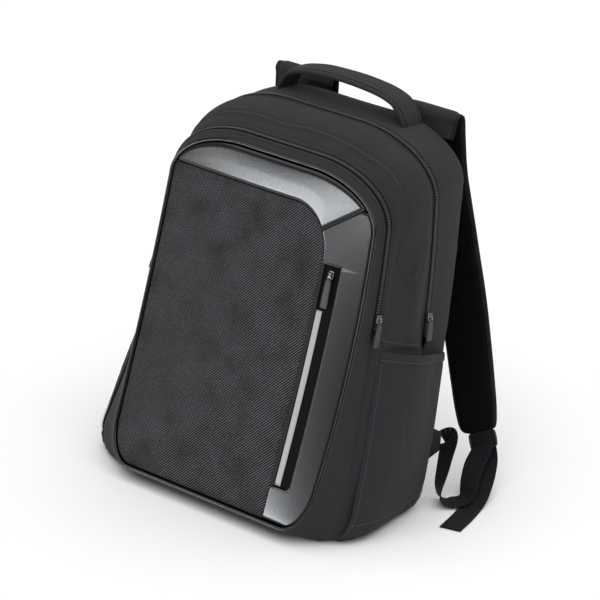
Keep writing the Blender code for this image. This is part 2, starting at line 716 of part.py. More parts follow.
def panel_seat(x, z):
    """Frame on the front panel: point, out, along (down) and across."""
    at = panel_point(np.array(x), np.array(z))
    along = panel_point(np.array(x), np.array(z - 0.004)) - panel_point(np.array(x), np.array(z + 0.004))
    along /= np.linalg.norm(along)
    out = np.cross(along, np.array([1.0, 0.0, 0.0]))
    out /= np.linalg.norm(out)
    if out[1] > 0:
        out = -out
    return at, out, along, np.cross(out, along)


def extruded(name, outline_uv, place, low, high, smooth=False):
    """Prism of an outline given along and out, between two distances across."""
    rings = [[place(u, v, w) for u, v in outline_uv] for w in (low, high)]
    return rod_solid(name, rings, smooth)


def join_boxes(name, boxes, place):
    """One solid united from boxes, each given by low and high corners in a seat's frame."""
    parts = []
    for index, (low, high) in enumerate(boxes):
        corners = [(low[0], low[1]), (high[0], low[1]), (high[0], high[1]), (low[0], high[1])]
        parts.append(extruded(f"{name}_{index}", corners, place, low[2], high[2]))
    base = parts[0]
    for other in parts[1:]:
        union = base.modifiers.new("union", "BOOLEAN")
        union.operation = "UNION"
        union.solver = "EXACT"
        union.object = other
        other.hide_render = True
        other.display_type = "WIRE"
    base.name = name
    return base


def slider_and_pull(tag, seat, height_off, pull_length, pull_thick=0.0016, hang=0.0):
    """Zip slider with its crown, and the pull whose rod turns under the crown."""
    point, out, along, across = seat

    def place(u, v, w):
        return point + along * u + out * (height_off + v) + across * w

    half_long, half_wide = SLIDER_LENGTH / 2, SLIDER_WIDTH / 2
    block, crown = SLIDER_BLOCK, SLIDER_BLOCK + CROWN_HEIGHT
    bar, half_bar = CROWN_BAR, CROWN_WIDTH / 2
    post = 0.0036
    sunk = 0.0006
    slider = join_boxes("slider_" + tag, [
        ((-half_long, 0.0, -half_wide), (half_long, block, half_wide)),
        ((-post, block - sunk, -half_bar), (-post + bar, crown, half_bar)),
        ((post - bar, block - sunk, -half_bar), (post, crown, half_bar)),
        ((-post, crown - bar, -half_bar * 0.98), (post, crown, half_bar * 0.98)),
    ], place)
    paint(slider, *METAL)

    pivot = (block + crown - bar) / 2
    rod = PULL_ROD / 2
    eye = half_bar + GAP
    reach = math.hypot(post, crown - pivot) + 2 * GAP
    half_pull = PULL_WIDTH / 2
    angle = math.radians(hang)

    def swing(u, v, w):
        turned = (u * math.cos(angle) - v * math.sin(angle), u * math.sin(angle) + v * math.cos(angle))
        return place(turned[0], pivot + turned[1], w)

    arm = 0.0013
    pull = join_boxes("pull_" + tag, [
        ((reach, -pull_thick / 2, -half_pull), (pull_length, pull_thick / 2, half_pull)),
        ((-rod, -rod, -eye - arm), (rod, rod, eye + arm)),
        ((-rod * 0.98, -rod * 0.98, eye), (reach + sunk, rod * 0.98, eye + arm * 0.98)),
        ((-rod * 0.98, -rod * 0.98, -eye - arm * 0.98), (reach + sunk, rod * 0.98, -eye)),
    ], swing)
    paint(pull, *PULL)
    return slider, pull


def zip_hardware():
    """Sliders and pulls of the front zip, the main zip and the small pocket."""
    over_coil = GAP + ZIP_COIL_RISE + SEAT_GAP
    rows = SECTIONS
    slider_and_pull("front_right", side_seat(rows["zip_front"], FRONT_ZIP_END + 0.012, 1),
                    over_coil, 0.031)
    slider_and_pull("front_left", side_seat(rows["zip_front"], FRONT_ZIP_END + 0.012, -1),
                    over_coil, 0.031, hang=10.0)
    slider_and_pull("main_right", side_seat(rows["zip_main"], MAIN_ZIP_END + 0.024, 1),
                    over_coil, 0.026)
    slider_and_pull("main_left", side_seat(rows["zip_main"], MAIN_ZIP_END + 0.024, -1),
                    over_coil, 0.026)
    tape_middle = (SLOT_LEFT + 2 * GAP + FLAP_WIDTH + SLOT_RIGHT - GAP) / 2
    slider_and_pull("pocket", panel_seat(tape_middle - 0.0005, POCKET_SLIDER_HEIGHT),
                    SEAT_GAP - 0.0010 + 0.0004, 0.036)


def side_line(ring_points, side):
    """Part of a ring up one side of the bag, from the foot to the top corner: x out, y, z."""
    points = ring_points
    if side < 0:
        points = np.concatenate([points[:1], points[1:][::-1]]) * np.array([-1, 1, 1])
    return points[FOOT_STEPS:FOOT_STEPS + LOW_STEPS + SIDE_STEPS + HIGH_STEPS + 1]


def side_pocket(name, side):
    """Cloth pocket on a side of the bag, sewn along its front, foot and back, open on top."""
    lines = [ring(SECTIONS[k]) for k in ("seam", "belly_front", "belly_back", "zip_main", "hip")]
    lines.append(lines[-1] + (ring(SECTIONS["back_edge"]) - lines[-1]) * POCKET_BACK_SHARE)
    shape = (POCKET_LEVELS + 2, len(lines), 3)
    outer, inner = np.zeros(shape), np.zeros(shape)
    for j, points in enumerate(lines):
        line = side_line(points, side)
        across = j / (len(lines) - 1)
        arch = math.sin(math.pi * across) ** 0.75
        top = POCKET_TOP_FRONT + (POCKET_TOP_BACK - POCKET_TOP_FRONT) * across
        sewn = line[POCKET_FOOT_POINT:POCKET_FOOT_POINT + POCKET_LEVELS, 2]
        heights = np.concatenate([sewn, [(sewn[-1] + top) / 2, top]])
        up = (heights - heights[0]) / (top - heights[0])
        swell = POCKET_BULGE * arch * np.sin(math.pi * (0.06 + 0.74 * up)) ** 0.8
        swell = swell * np.minimum(1, up * 6) + POCKET_MOUTH * arch * up ** 3
        x = np.interp(heights, line[:, 2], line[:, 0]) + POCKET_CLEAR + swell
        y = np.interp(heights, line[:, 2], line[:, 1])
        inner[:, j] = np.column_stack([side * x, y, heights])
        outer[:, j] = np.column_stack([side * (x + POCKET_WALL), y, heights])
    return paint(sheet_solid(name, outer, inner), *FABRIC)


def top_height(x):
    """Height of the bag's top behind the main zip, at a distance from the middle."""
    line = half_outline(SECTIONS["hip"], 0.0)[FOOT_STEPS + LOW_STEPS + SIDE_STEPS:][::-1]
    return float(np.interp(abs(x), line[:, 0], line[:, 1]))


def handle():
    """Padded carry handle, arched over the top between the main zip and the back."""
    steps = 15
    rings = []
    lift = top_height(0.0) + HANDLE_RISE
    seat = top_height(HANDLE_HALF_SPAN - HANDLE_THICK / 2) + HANDLE_THICK * 0.25 + GAP
    for k in range(steps):
        turn = math.pi * k / (steps - 1)
        x = -HANDLE_HALF_SPAN * np.sign(math.cos(turn)) * abs(math.cos(turn)) ** 0.80
        z = seat + (lift - seat) * math.sin(turn) ** 0.85
        dx = HANDLE_HALF_SPAN * math.sin(turn)
        dz = (lift - seat) * math.cos(turn) * 0.9
        if k in (0, steps - 1):
            dx, dz = 0.35 * HANDLE_RISE, math.copysign(HANDLE_RISE, dz)
        size = math.hypot(dx, dz)
        out = np.array([-dz / size, 0.0, dx / size])
        centre = np.array([x, FRONT_Y + HANDLE_DEPTH, z])
        ring_now = []
        for u, v in ((-1, -0.35), (-0.82, -1), (0.82, -1), (1, -0.35), (1, 0.35), (0.82, 1),
                     (-0.82, 1), (-1, 0.35)):
            ring_now.append(centre + np.array([0.0, u * HANDLE_WIDTH / 2, 0.0])
                            + out * (v * HANDLE_THICK / 2))
        rings.append(ring_now)
    return paint(rod_solid("handle", rings), *FABRIC)


def path_frames(points, turns, tips=None):
    """Width and thickness directions of a flat band along its centre line."""
    tangent = np.gradient(points, axis=0)
    tangent /= np.linalg.norm(tangent, axis=1, keepdims=True)
    angle = np.radians(turns)
    rise = np.zeros_like(angle) if tips is None else tips
    wide = np.column_stack([np.cos(angle), np.sin(angle), rise])
    wide -= tangent * np.sum(wide * tangent, axis=1, keepdims=True)
    wide /= np.linalg.norm(wide, axis=1, keepdims=True)
    return wide, np.cross(tangent, wide)


def mirrored(points, side):
    """Points with x turned to the side wanted."""
    return points * np.array([side, 1.0, 1.0])


def behind(rows, lift=0.0):
    """World points of rows that give out, back and height as shares of the bag's sizes."""
    out, back, height = (np.array([row[k] for row in rows], dtype=float) for k in range(3))
    z = height * PANEL_HEIGHT + lift
    return np.column_stack([out * PANEL_HALF_WIDTH, FRONT_Y + lean(z) + back * BAG_DEPTH, z])


def shoulder_strap(name, side):
    """Padded shoulder strap: from a fold above the back, behind the bag, to the buckle."""
    rows = STRAP_ROWS
    centre = behind(rows)
    wide, thick = path_frames(centre, np.array([r.turn for r in rows], dtype=float))
    profile = ((-1, -0.3), (-0.9, -1), (0.9, -1), (1, -0.3), (1, 0.3), (0.9, 1), (-0.9, 1), (-1, 0.3))
    rings = []
    for r, c, w, t in zip(rows, centre, wide, thick):
        half_wide, half_thick = r.wide * STRAP_WIDTH / 2, r.thick * STRAP_THICK / 2
        rings.append([mirrored(c + w * (u * half_wide) + t * (v * half_thick), side)
                      for u, v in profile])
    bar, along, out, wide_bar, length = buckle_frame()
    end = bar + along * (length + GAP)
    rings.append([mirrored(end + wide_bar * (u * WEBBING_WIDTH / 2) - out * (v * STRAP_END_THICK / 2),
                           side) for u, v in profile])
    return paint(rod_solid(name, rings), *MESH)


def buckle_frame():
    """Frame of the buckle: the middle of its lower bar, then along, out and wide, and length."""
    low, high = behind((BUCKLE_LOW, BUCKLE_HIGH))
    length = float(np.linalg.norm(high - low))
    along = (high - low) / length
    turn = math.radians(BUCKLE_TURN)
    wide = np.array([math.cos(turn), math.sin(turn), 0.0])
    wide -= along * np.dot(wide, along)
    wide /= np.linalg.norm(wide)
    return low, along, np.cross(along, wide), wide, length


def webbing(name, side):
    """Flat webbing of a strap: tab, floor, buckle and free end, one piece."""
    lift = WEBBING_THICK / 2 + FLOOR_GAP
    bar, along, out, wide_bar, _ = buckle_frame()
    wrap = np.radians(np.array([-78.0, -26.0, 26.0, 78.0]))
    reach = math.hypot(BUCKLE_BAR, BUCKLE_THICK) / 2 + (WEBBING_THICK / 2 + 2 * GAP) / math.cos(wrap[2])
    over = bar + reach * (np.cos(wrap)[:, None] * along + np.sin(wrap)[:, None] * out)
    centre = np.concatenate([behind(WEBBING_TO_BUCKLE, lift), over, behind(WEBBING_FREE_END, lift)])
    rows = WEBBING_TO_BUCKLE + (None,) * len(wrap) + WEBBING_FREE_END
    bar_turn = math.degrees(math.atan2(wide_bar[1], wide_bar[0]))
    bar_tip = wide_bar[2] / math.hypot(wide_bar[0], wide_bar[1])
    turns = np.array([bar_turn if row is None else row.turn for row in rows])
    tips = np.array([bar_tip if row is None else row.tip for row in rows])
    wide, thick = path_frames(centre, turns, tips)
    rings = []
    for c, w, t in zip(centre, wide, thick):
        rings.append([mirrored(c + w * (u * WEBBING_WIDTH / 2) + t * (v * WEBBING_THICK / 2), side)
                      for u, v in ((-1, -1), (1, -1), (1, 1), (-1, 1))])
    return paint(band_solid(name, rings), *TAPE)


def buckle(name, side):
    """Strap buckle: two rails, the bar that the strap's end holds and the webbing's bar."""
    low, along, out, wide, length = buckle_frame()

    def place(u, v, w):
        return mirrored(low + along * u + out * v + wide * w, side)

    inner = WEBBING_WIDTH / 2 + 4 * GAP
    outer = inner + BUCKLE_RAIL
    half = BUCKLE_THICK / 2
    made = join_boxes(name, [
        ((-BUCKLE_BAR / 2, -half, inner), (length, half, outer)),
        ((-BUCKLE_BAR / 2, -half, -outer), (length, half, -inner)),
        ((length - BUCKLE_BAR, -half * 0.96, -inner - GAP), (length - GAP, half * 0.96, inner + GAP)),
        ((-BUCKLE_BAR * 0.48, -half * 0.9, -inner - GAP), (BUCKLE_BAR * 0.48, half * 0.9, inner + GAP)),
    ], place)
    return paint(made, *PLASTIC)


def webbing_tab(name, side):
    """Cloth tab at the back of the side, which holds the fixed end of the webbing."""
    corners = behind(TAB_ROWS)
    face = np.cross(corners[1] - corners[0], corners[2] - corners[0])
    face /= np.linalg.norm(face)
    rings = [[mirrored(c + face * shift, side) for c in corners]
             for shift in (-TAB_THICK / 2, TAB_THICK / 2)]
    return paint(rod_solid(name, rings, smooth=False), *FABRIC)


def build():
    """Model every piece of the backpack."""
    front_gusset()
    middle_shell()
    rear_shell()
    piping()
    woven_panel()
    trim_top()
    trim_side()
    small_pocket()
    zip_band("zip_front", SECTIONS["zip_front"], FRONT_ZIP_END)
    zip_band("zip_main", SECTIONS["zip_main"], MAIN_ZIP_END)
    zip_hardware()
    for tag, side in (("right", 1), ("left", -1)):
        side_pocket("side_pocket_" + tag, side)
        shoulder_strap("shoulder_strap_" + tag, side)
        webbing("webbing_" + tag, side)
        buckle("buckle_" + tag, side)
        webbing_tab("webbing_tab_" + tag, side)
    handle()


for leftover in list(bpy.data.objects):
    bpy.data.objects.remove(leftover)
build()
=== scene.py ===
"""Looks of the laptop backpack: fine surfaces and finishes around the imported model.

Metres, +Z up. The front faces -Y, and +X is on the right of someone who looks at the front.
Shapes are numpy surfaces: a grid of two parameters, or a profile carried along a path.
"""

import logging
import math
from dataclasses import dataclass, field
from enum import Enum
from typing import Sequence

import bpy
import numpy as np
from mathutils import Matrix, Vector


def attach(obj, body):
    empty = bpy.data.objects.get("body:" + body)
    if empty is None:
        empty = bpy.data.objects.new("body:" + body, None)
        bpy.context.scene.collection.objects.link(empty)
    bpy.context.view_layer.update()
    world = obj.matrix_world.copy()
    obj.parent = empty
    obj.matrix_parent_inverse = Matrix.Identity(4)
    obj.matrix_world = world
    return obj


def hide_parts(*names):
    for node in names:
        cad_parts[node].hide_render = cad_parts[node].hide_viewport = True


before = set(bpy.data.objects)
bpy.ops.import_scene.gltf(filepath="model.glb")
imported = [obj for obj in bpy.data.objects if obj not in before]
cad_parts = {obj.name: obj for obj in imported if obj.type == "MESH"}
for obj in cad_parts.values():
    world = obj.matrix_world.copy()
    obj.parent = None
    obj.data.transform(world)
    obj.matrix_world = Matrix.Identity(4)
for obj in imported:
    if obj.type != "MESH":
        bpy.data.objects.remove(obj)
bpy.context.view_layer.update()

Array = np.ndarray
LOG = logging.getLogger("backpack")
MM = 0.001


class Side(Enum):
    """Side of the bag, as the sign of x."""

    RIGHT = 1
    LEFT = -1


class Station(Enum):
    """Place of each outline of the loft, from the front panel to the back."""

    PANEL = 0
    WELT = 1
    ZIP_FRONT = 2
    SEAM = 3
    BELLY_FRONT = 4
    BELLY_BACK = 5
    ZIP_MAIN = 6
    HIP = 7
    BACK_EDGE = 8
    BACK = 9


# depth at the base and at the top, extra half width, extra height, share of the panel's lift
# that is left, softness, stand-out of the foot and size of the low corners
SECTION_NAMES = ("depth_low", "depth_high", "side", "top", "lift", "soft", "flare", "low")
SECTIONS = np.array([
    (0.000, 0.000, 0.000, 0.000, 0.64, 0.0, 0.000, 1.00),
    (0.085, 0.030, 0.010, 0.010, 0.42, 0.0, 0.060, 0.90),
    (0.180, 0.066, 0.022, 0.020, 0.16, 0.0, 0.120, 0.70),
    (0.285, 0.175, 0.066, 0.058, 0.00, 0.6, 0.130, 0.55),
    (0.430, 0.270, 0.105, 0.078, 0.00, 1.0, 0.120, 0.38),
    (0.610, 0.360, 0.100, 0.084, 0.00, 1.0, 0.110, 0.32),
    (0.770, 0.435, 0.066, 0.081, 0.00, 0.0, 0.115, 0.30),
    (0.900, 0.600, 0.060, 0.082, 0.00, 1.0, 0.100, 0.34),
    (0.985, 0.740, 0.028, 0.072, 0.00, 0.3, 0.070, 0.50),
    (1.000, 0.775, -0.030, 0.050, 0.30, 0.0, 0.040, 0.70),
])

# Dents and swellings of the soft sides: side, height, depth, tall, deep, push
CREASES = (
    (1, 0.70, 0.36, 0.13, 0.16, -0.026),
    (1, 0.55, 0.52, 0.11, 0.15, 0.016),
    (1, 0.86, 0.55, 0.10, 0.16, -0.018),
    (-1, 0.66, 0.45, 0.15, 0.18, -0.022),
    (-1, 0.48, 0.30, 0.12, 0.14, 0.014),
    (0, 0.18, 0.30, 0.12, 0.12, 0.020),
)


def through_rows(rows: Array, at: Array) -> Array:
    """Smooth curve through rows of numbers: a cubic whose slope at a row joins its neighbours.

    Args:
        rows: one row for each place, in columns.
        at: places wanted, counted in rows from 0.

    Returns:
        The rows at those places.
    """
    last = len(rows) - 1
    index = np.clip(np.floor(at).astype(int), 0, last - 1)
    share = (at - index)[:, None]
    before, start = rows[np.maximum(index - 1, 0)], rows[index]
    stop, after = rows[index + 1], rows[np.minimum(index + 2, last)]
    return 0.5 * (2 * start + (stop - before) * share
                  + (2 * before - 5 * start + 4 * stop - after) * share ** 2
                  + (3 * start - before - 3 * stop + after) * share ** 3)


def unit(vectors: Array) -> Array:
    """Vectors scaled to a length of one."""
    return vectors / np.maximum(np.linalg.norm(vectors, axis=-1, keepdims=True), 1e-12)


def ramp(value: Array, start: float, stop: float) -> Array:
    """Share from 0 at start to 1 at stop, eased at both ends."""
    share = np.clip((value - start) / (stop - start), 0, 1)
    return share * share * (3 - 2 * share)


def bump(value: Array, middle: float, reach: float) -> Array:
    """Bell that is 1 at the middle and falls away over the reach."""
    return np.exp(-((value - middle) / reach) ** 2)


def ripple(points: Array, wavelength: float, seed: int, waves: int = 14,
           stretch: Sequence[float] = (1, 1, 1)) -> Array:
    """Smooth unevenness from about -1 to 1: a sum of plane waves in random directions.

    Args:
        points: places in the world, in the last axis.
        wavelength: middle length of the waves, in metres.
        seed: which of the repeatable patterns.
        waves: how many waves are added.
        stretch: how much longer the waves are along X, Y and Z.

    Returns:
        The unevenness at each point.
    """
    draw = np.random.default_rng(seed)
    way = unit(draw.normal(size=(waves, 3)))
    length = wavelength * draw.uniform(0.6, 1.7, size=waves)
    phase = draw.uniform(0, 2 * math.pi, size=waves)
    turns = (points / np.array(stretch)) @ (way * (2 * math.pi / length)[:, None]).T + phase
    return np.cos(turns).sum(axis=-1) / math.sqrt(waves / 2) / 1.6


def arc_length(points: Array, closed: bool = False) -> Array:
    """Distance along a row of points, from its first one."""
    steps = np.diff(points, axis=0, append=points[:1]) if closed else np.diff(points, axis=0)
    return np.concatenate([[0.0], np.cumsum(np.linalg.norm(steps, axis=1))])


def places_grid(across: Array, along: Array) -> Array:
    """Grid of places in metres, with a row for each along and a column for each across."""
    return np.stack(np.meshgrid(across, along, indexing="xy"), axis=-1)


def resample(points: Array, count: int, *others: Array) -> tuple[Array, ...]:
    """Points and the arrays that go with them, spaced evenly along the line."""
    at = arc_length(points)
    want = np.linspace(0, at[-1], count)
    return tuple(np.stack([np.interp(want, at, column) for column in grid.T], axis=1)
                 for grid in (points, *others))


class Mesher:
    """Puts numpy surfaces into meshes that ride on a body of the frame."""

    @staticmethod
    def grid_faces(rows: int, cols: int, wrap: bool, start: int = 0) -> Array:
        """Quads of a grid of points, which may join its last column to its first."""
        i, j = np.meshgrid(np.arange(rows - 1), np.arange(cols if wrap else cols - 1), indexing="ij")
        k = (j + 1) % cols
        quads = np.stack([i * cols + j, i * cols + k, (i + 1) * cols + k, (i + 1) * cols + j], axis=-1)
        return quads.reshape(-1, 4) + start

    @staticmethod
    def volume(verts: Array, faces: Array) -> float:
        """Six times the volume inside the quads, above zero when they face outwards."""
        a, b, c, d = (verts[faces[:, k]] for k in range(4))
        return float(np.einsum("ij,ij->", a, np.cross(b, c)) + np.einsum("ij,ij->", a, np.cross(c, d)))

    @classmethod
    def piece(cls, name: str, verts: Array, quads: Array, body: str = "bag",
              uv: Array | None = None, fans: Sequence[Array] = (), smooth: bool = True,
              facing: Array | None = None) -> bpy.types.Object:
        """Mesh object from arrays.

        Args:
            name: the piece's name.
            verts: its points.
            quads: its four-sided faces.
            body: the body it rides on.
            uv: a place in metres for each corner of each quad.
            fans: further faces, each a row of point numbers.
            smooth: whether it is shaded smooth.
            facing: the way that an open sheet faces; a closed one faces out by its volume.

        Returns:
            The new object.
        """
        if facing is None:
            inward = cls.volume(verts - verts.mean(axis=0), quads) < 0
        else:
            a, b, c, d = (verts[quads[:, k]] for k in range(4))
            inward = float((np.cross(c - a, d - b) @ facing).sum()) < 0
        if inward:
            quads = quads[:, ::-1]
            uv = None if uv is None else uv[:, ::-1]
            fans = [fan[::-1] for fan in fans]
        mesh = bpy.data.meshes.new(name)
        loops = np.concatenate([quads.ravel(), *fans]).astype(np.int32)
        totals = np.concatenate([np.full(len(quads), 4), [len(fan) for fan in fans]]).astype(np.int32)
        mesh.vertices.add(len(verts))
        mesh.vertices.foreach_set("co", np.asarray(verts, dtype=np.float32).ravel())
        mesh.loops.add(len(loops))
        mesh.loops.foreach_set("vertex_index", loops)
        mesh.polygons.add(len(totals))
        starts = np.concatenate([[0], np.cumsum(totals)[:-1]]).astype(np.int32)
        mesh.polygons.foreach_set("loop_start", starts)
        mesh.polygons.foreach_set("loop_total", totals)
        if uv is not None:
            layer = mesh.uv_layers.new(name="UVMap")
            flat = np.zeros((len(loops), 2), dtype=np.float32)
            flat[:quads.size] = uv.reshape(-1, 2)
            layer.data.foreach_set("uv", flat.ravel())
        mesh.update(calc_edges=True)
        mesh.validate()
        mesh.polygons.foreach_set("use_smooth", np.full(len(mesh.polygons), smooth))
        made = bpy.data.objects.new(name, mesh)
        bpy.context.scene.collection.objects.link(made)
        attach(made, body)
        return made

    @staticmethod
    def corners(uv: Array, count: int) -> Array:
        """Places at the corners of each quad, from a grid of places and how many quads a row has."""
        rows, wide = uv.shape[:2]
        i, j = np.meshgrid(np.arange(rows - 1), np.arange(count), indexing="ij")
        first = i * wide + j
        ids = np.stack([first, first + 1, first + wide + 1, first + wide], axis=-1)
        return uv.reshape(-1, 2)[ids.reshape(-1, 4)]

    @classmethod
    def loop(cls, name: str, rings: Array, **how) -> bpy.types.Object:
        """Surface of a tube whose last ring joins its first one."""
        count, sides = rings.shape[:2]
        quads = cls.grid_faces(sides + 1, count, True) % (sides * count)
        return cls.piece(name, rings.transpose(1, 0, 2).reshape(-1, 3), quads, **how)

    @classmethod
    def grid(cls, name: str, points: Array, wrap: bool = False, caps: bool = False,
             uv: Array | None = None, **how) -> bpy.types.Object:
        """Surface over a grid of points.

        Args:
            name: the piece's name.
            points: rows by columns of points.
            wrap: whether the last column joins the first.
            caps: whether the first and last rows are closed with a face.
            uv: rows by columns of places in metres, one column more when it wraps.
            how: what else `piece` takes.

        Returns:
            The new object.
        """
        rows, cols = points.shape[:2]
        quads = cls.grid_faces(rows, cols, wrap)
        corners = None if uv is None else cls.corners(uv, cols if wrap else cols - 1)
        fans = []
        if caps:
            last = (rows - 1) * cols
            fans = [np.arange(cols)[::-1], np.arange(cols) + last]
        return cls.piece(name, points.reshape(-1, 3), quads, uv=corners, fans=fans, **how)

    @classmethod
    def copies(cls, name: str, shape: tuple[Array, Array], places: Array, axes: Array,
               **how) -> bpy.types.Object:
        """One mesh of many copies of a small shape.

        Args:
            name: the piece's name.
            shape: the small shape's points and quads.
            places: where each copy lies.
            axes: each copy's three axes, as rows of a matrix.
            how: what else `piece` takes.

        Returns:
            The new object.
        """
        verts, quads = shape
        world = np.einsum("vi,kij->kvj", verts, axes) + places[:, None, :]
        ids = quads[None] + (np.arange(len(places)) * len(verts))[:, None, None]
        return cls.piece(name, world.reshape(-1, 3), ids.reshape(-1, 4), **how)


def superellipse(turn: Array, power: float) -> tuple[Array, Array]:
    """Sine and cosine squared off by a power, for a rounded rectangle: 2 is an ellipse."""
    wide, tall = np.cos(turn), np.sin(turn)
    share = 2.0 / power
    return np.sign(wide) * np.abs(wide) ** share, np.sign(tall) * np.abs(tall) ** share


def tube(centre: Array, wide: Array, thick: Array, half_wide: Array | float,
         half_thick: Array | float, power: float = 2.0, sides: int = 16) -> Array:
    """Rounded rectangle carried along a path.

    Args:
        centre: points of the path.
        wide: the way of its width, one for all points or one for each.
        thick: the way of its thickness, given likewise.
        half_wide: half its width.
        half_thick: half its thickness.
        power: how square it is; 2 is an ellipse.
        sides: points round it.

    Returns:
        Rows by sides of points.
    """
    across, up = superellipse(np.linspace(0, 2 * math.pi, sides, endpoint=False), power)
    wide, thick = (np.broadcast_to(way, centre.shape)[:, None, :] for way in (wide, thick))
    half_wide, half_thick = (np.broadcast_to(np.asarray(v, dtype=float), len(centre))[:, None, None]
                             for v in (half_wide, half_thick))
    return (centre[:, None, :] + wide * half_wide * across[None, :, None]
            + thick * half_thick * up[None, :, None])


def path_frames(points: Array, turns: Array, tips: Array | None = None) -> tuple[Array, Array]:
    """Width and thickness directions of a flat band, from the turn of its width about Z."""
    tangent = unit(np.gradient(points, axis=0))
    angle = np.radians(turns)
    rise = np.zeros_like(angle) if tips is None else tips
    wide = np.column_stack([np.cos(angle), np.sin(angle), rise])
    wide = unit(wide - tangent * np.sum(wide * tangent, axis=1, keepdims=True))
    return wide, np.cross(tangent, wide)


def refined(centre: Array, wide: Array, thick: Array, steps: int,
            *others: Array) -> tuple[Array, Array, Array, Array]:
    """Band with some steps between its rows: centre, width and thickness ways, and all columns."""
    at = np.linspace(0, len(centre) - 1, steps * (len(centre) - 1) + 1)
    fine = through_rows(np.hstack([centre, wide, thick, *others]), at)
    return fine[:, :3], unit(fine[:, 3:6]), unit(fine[:, 6:9]), fine


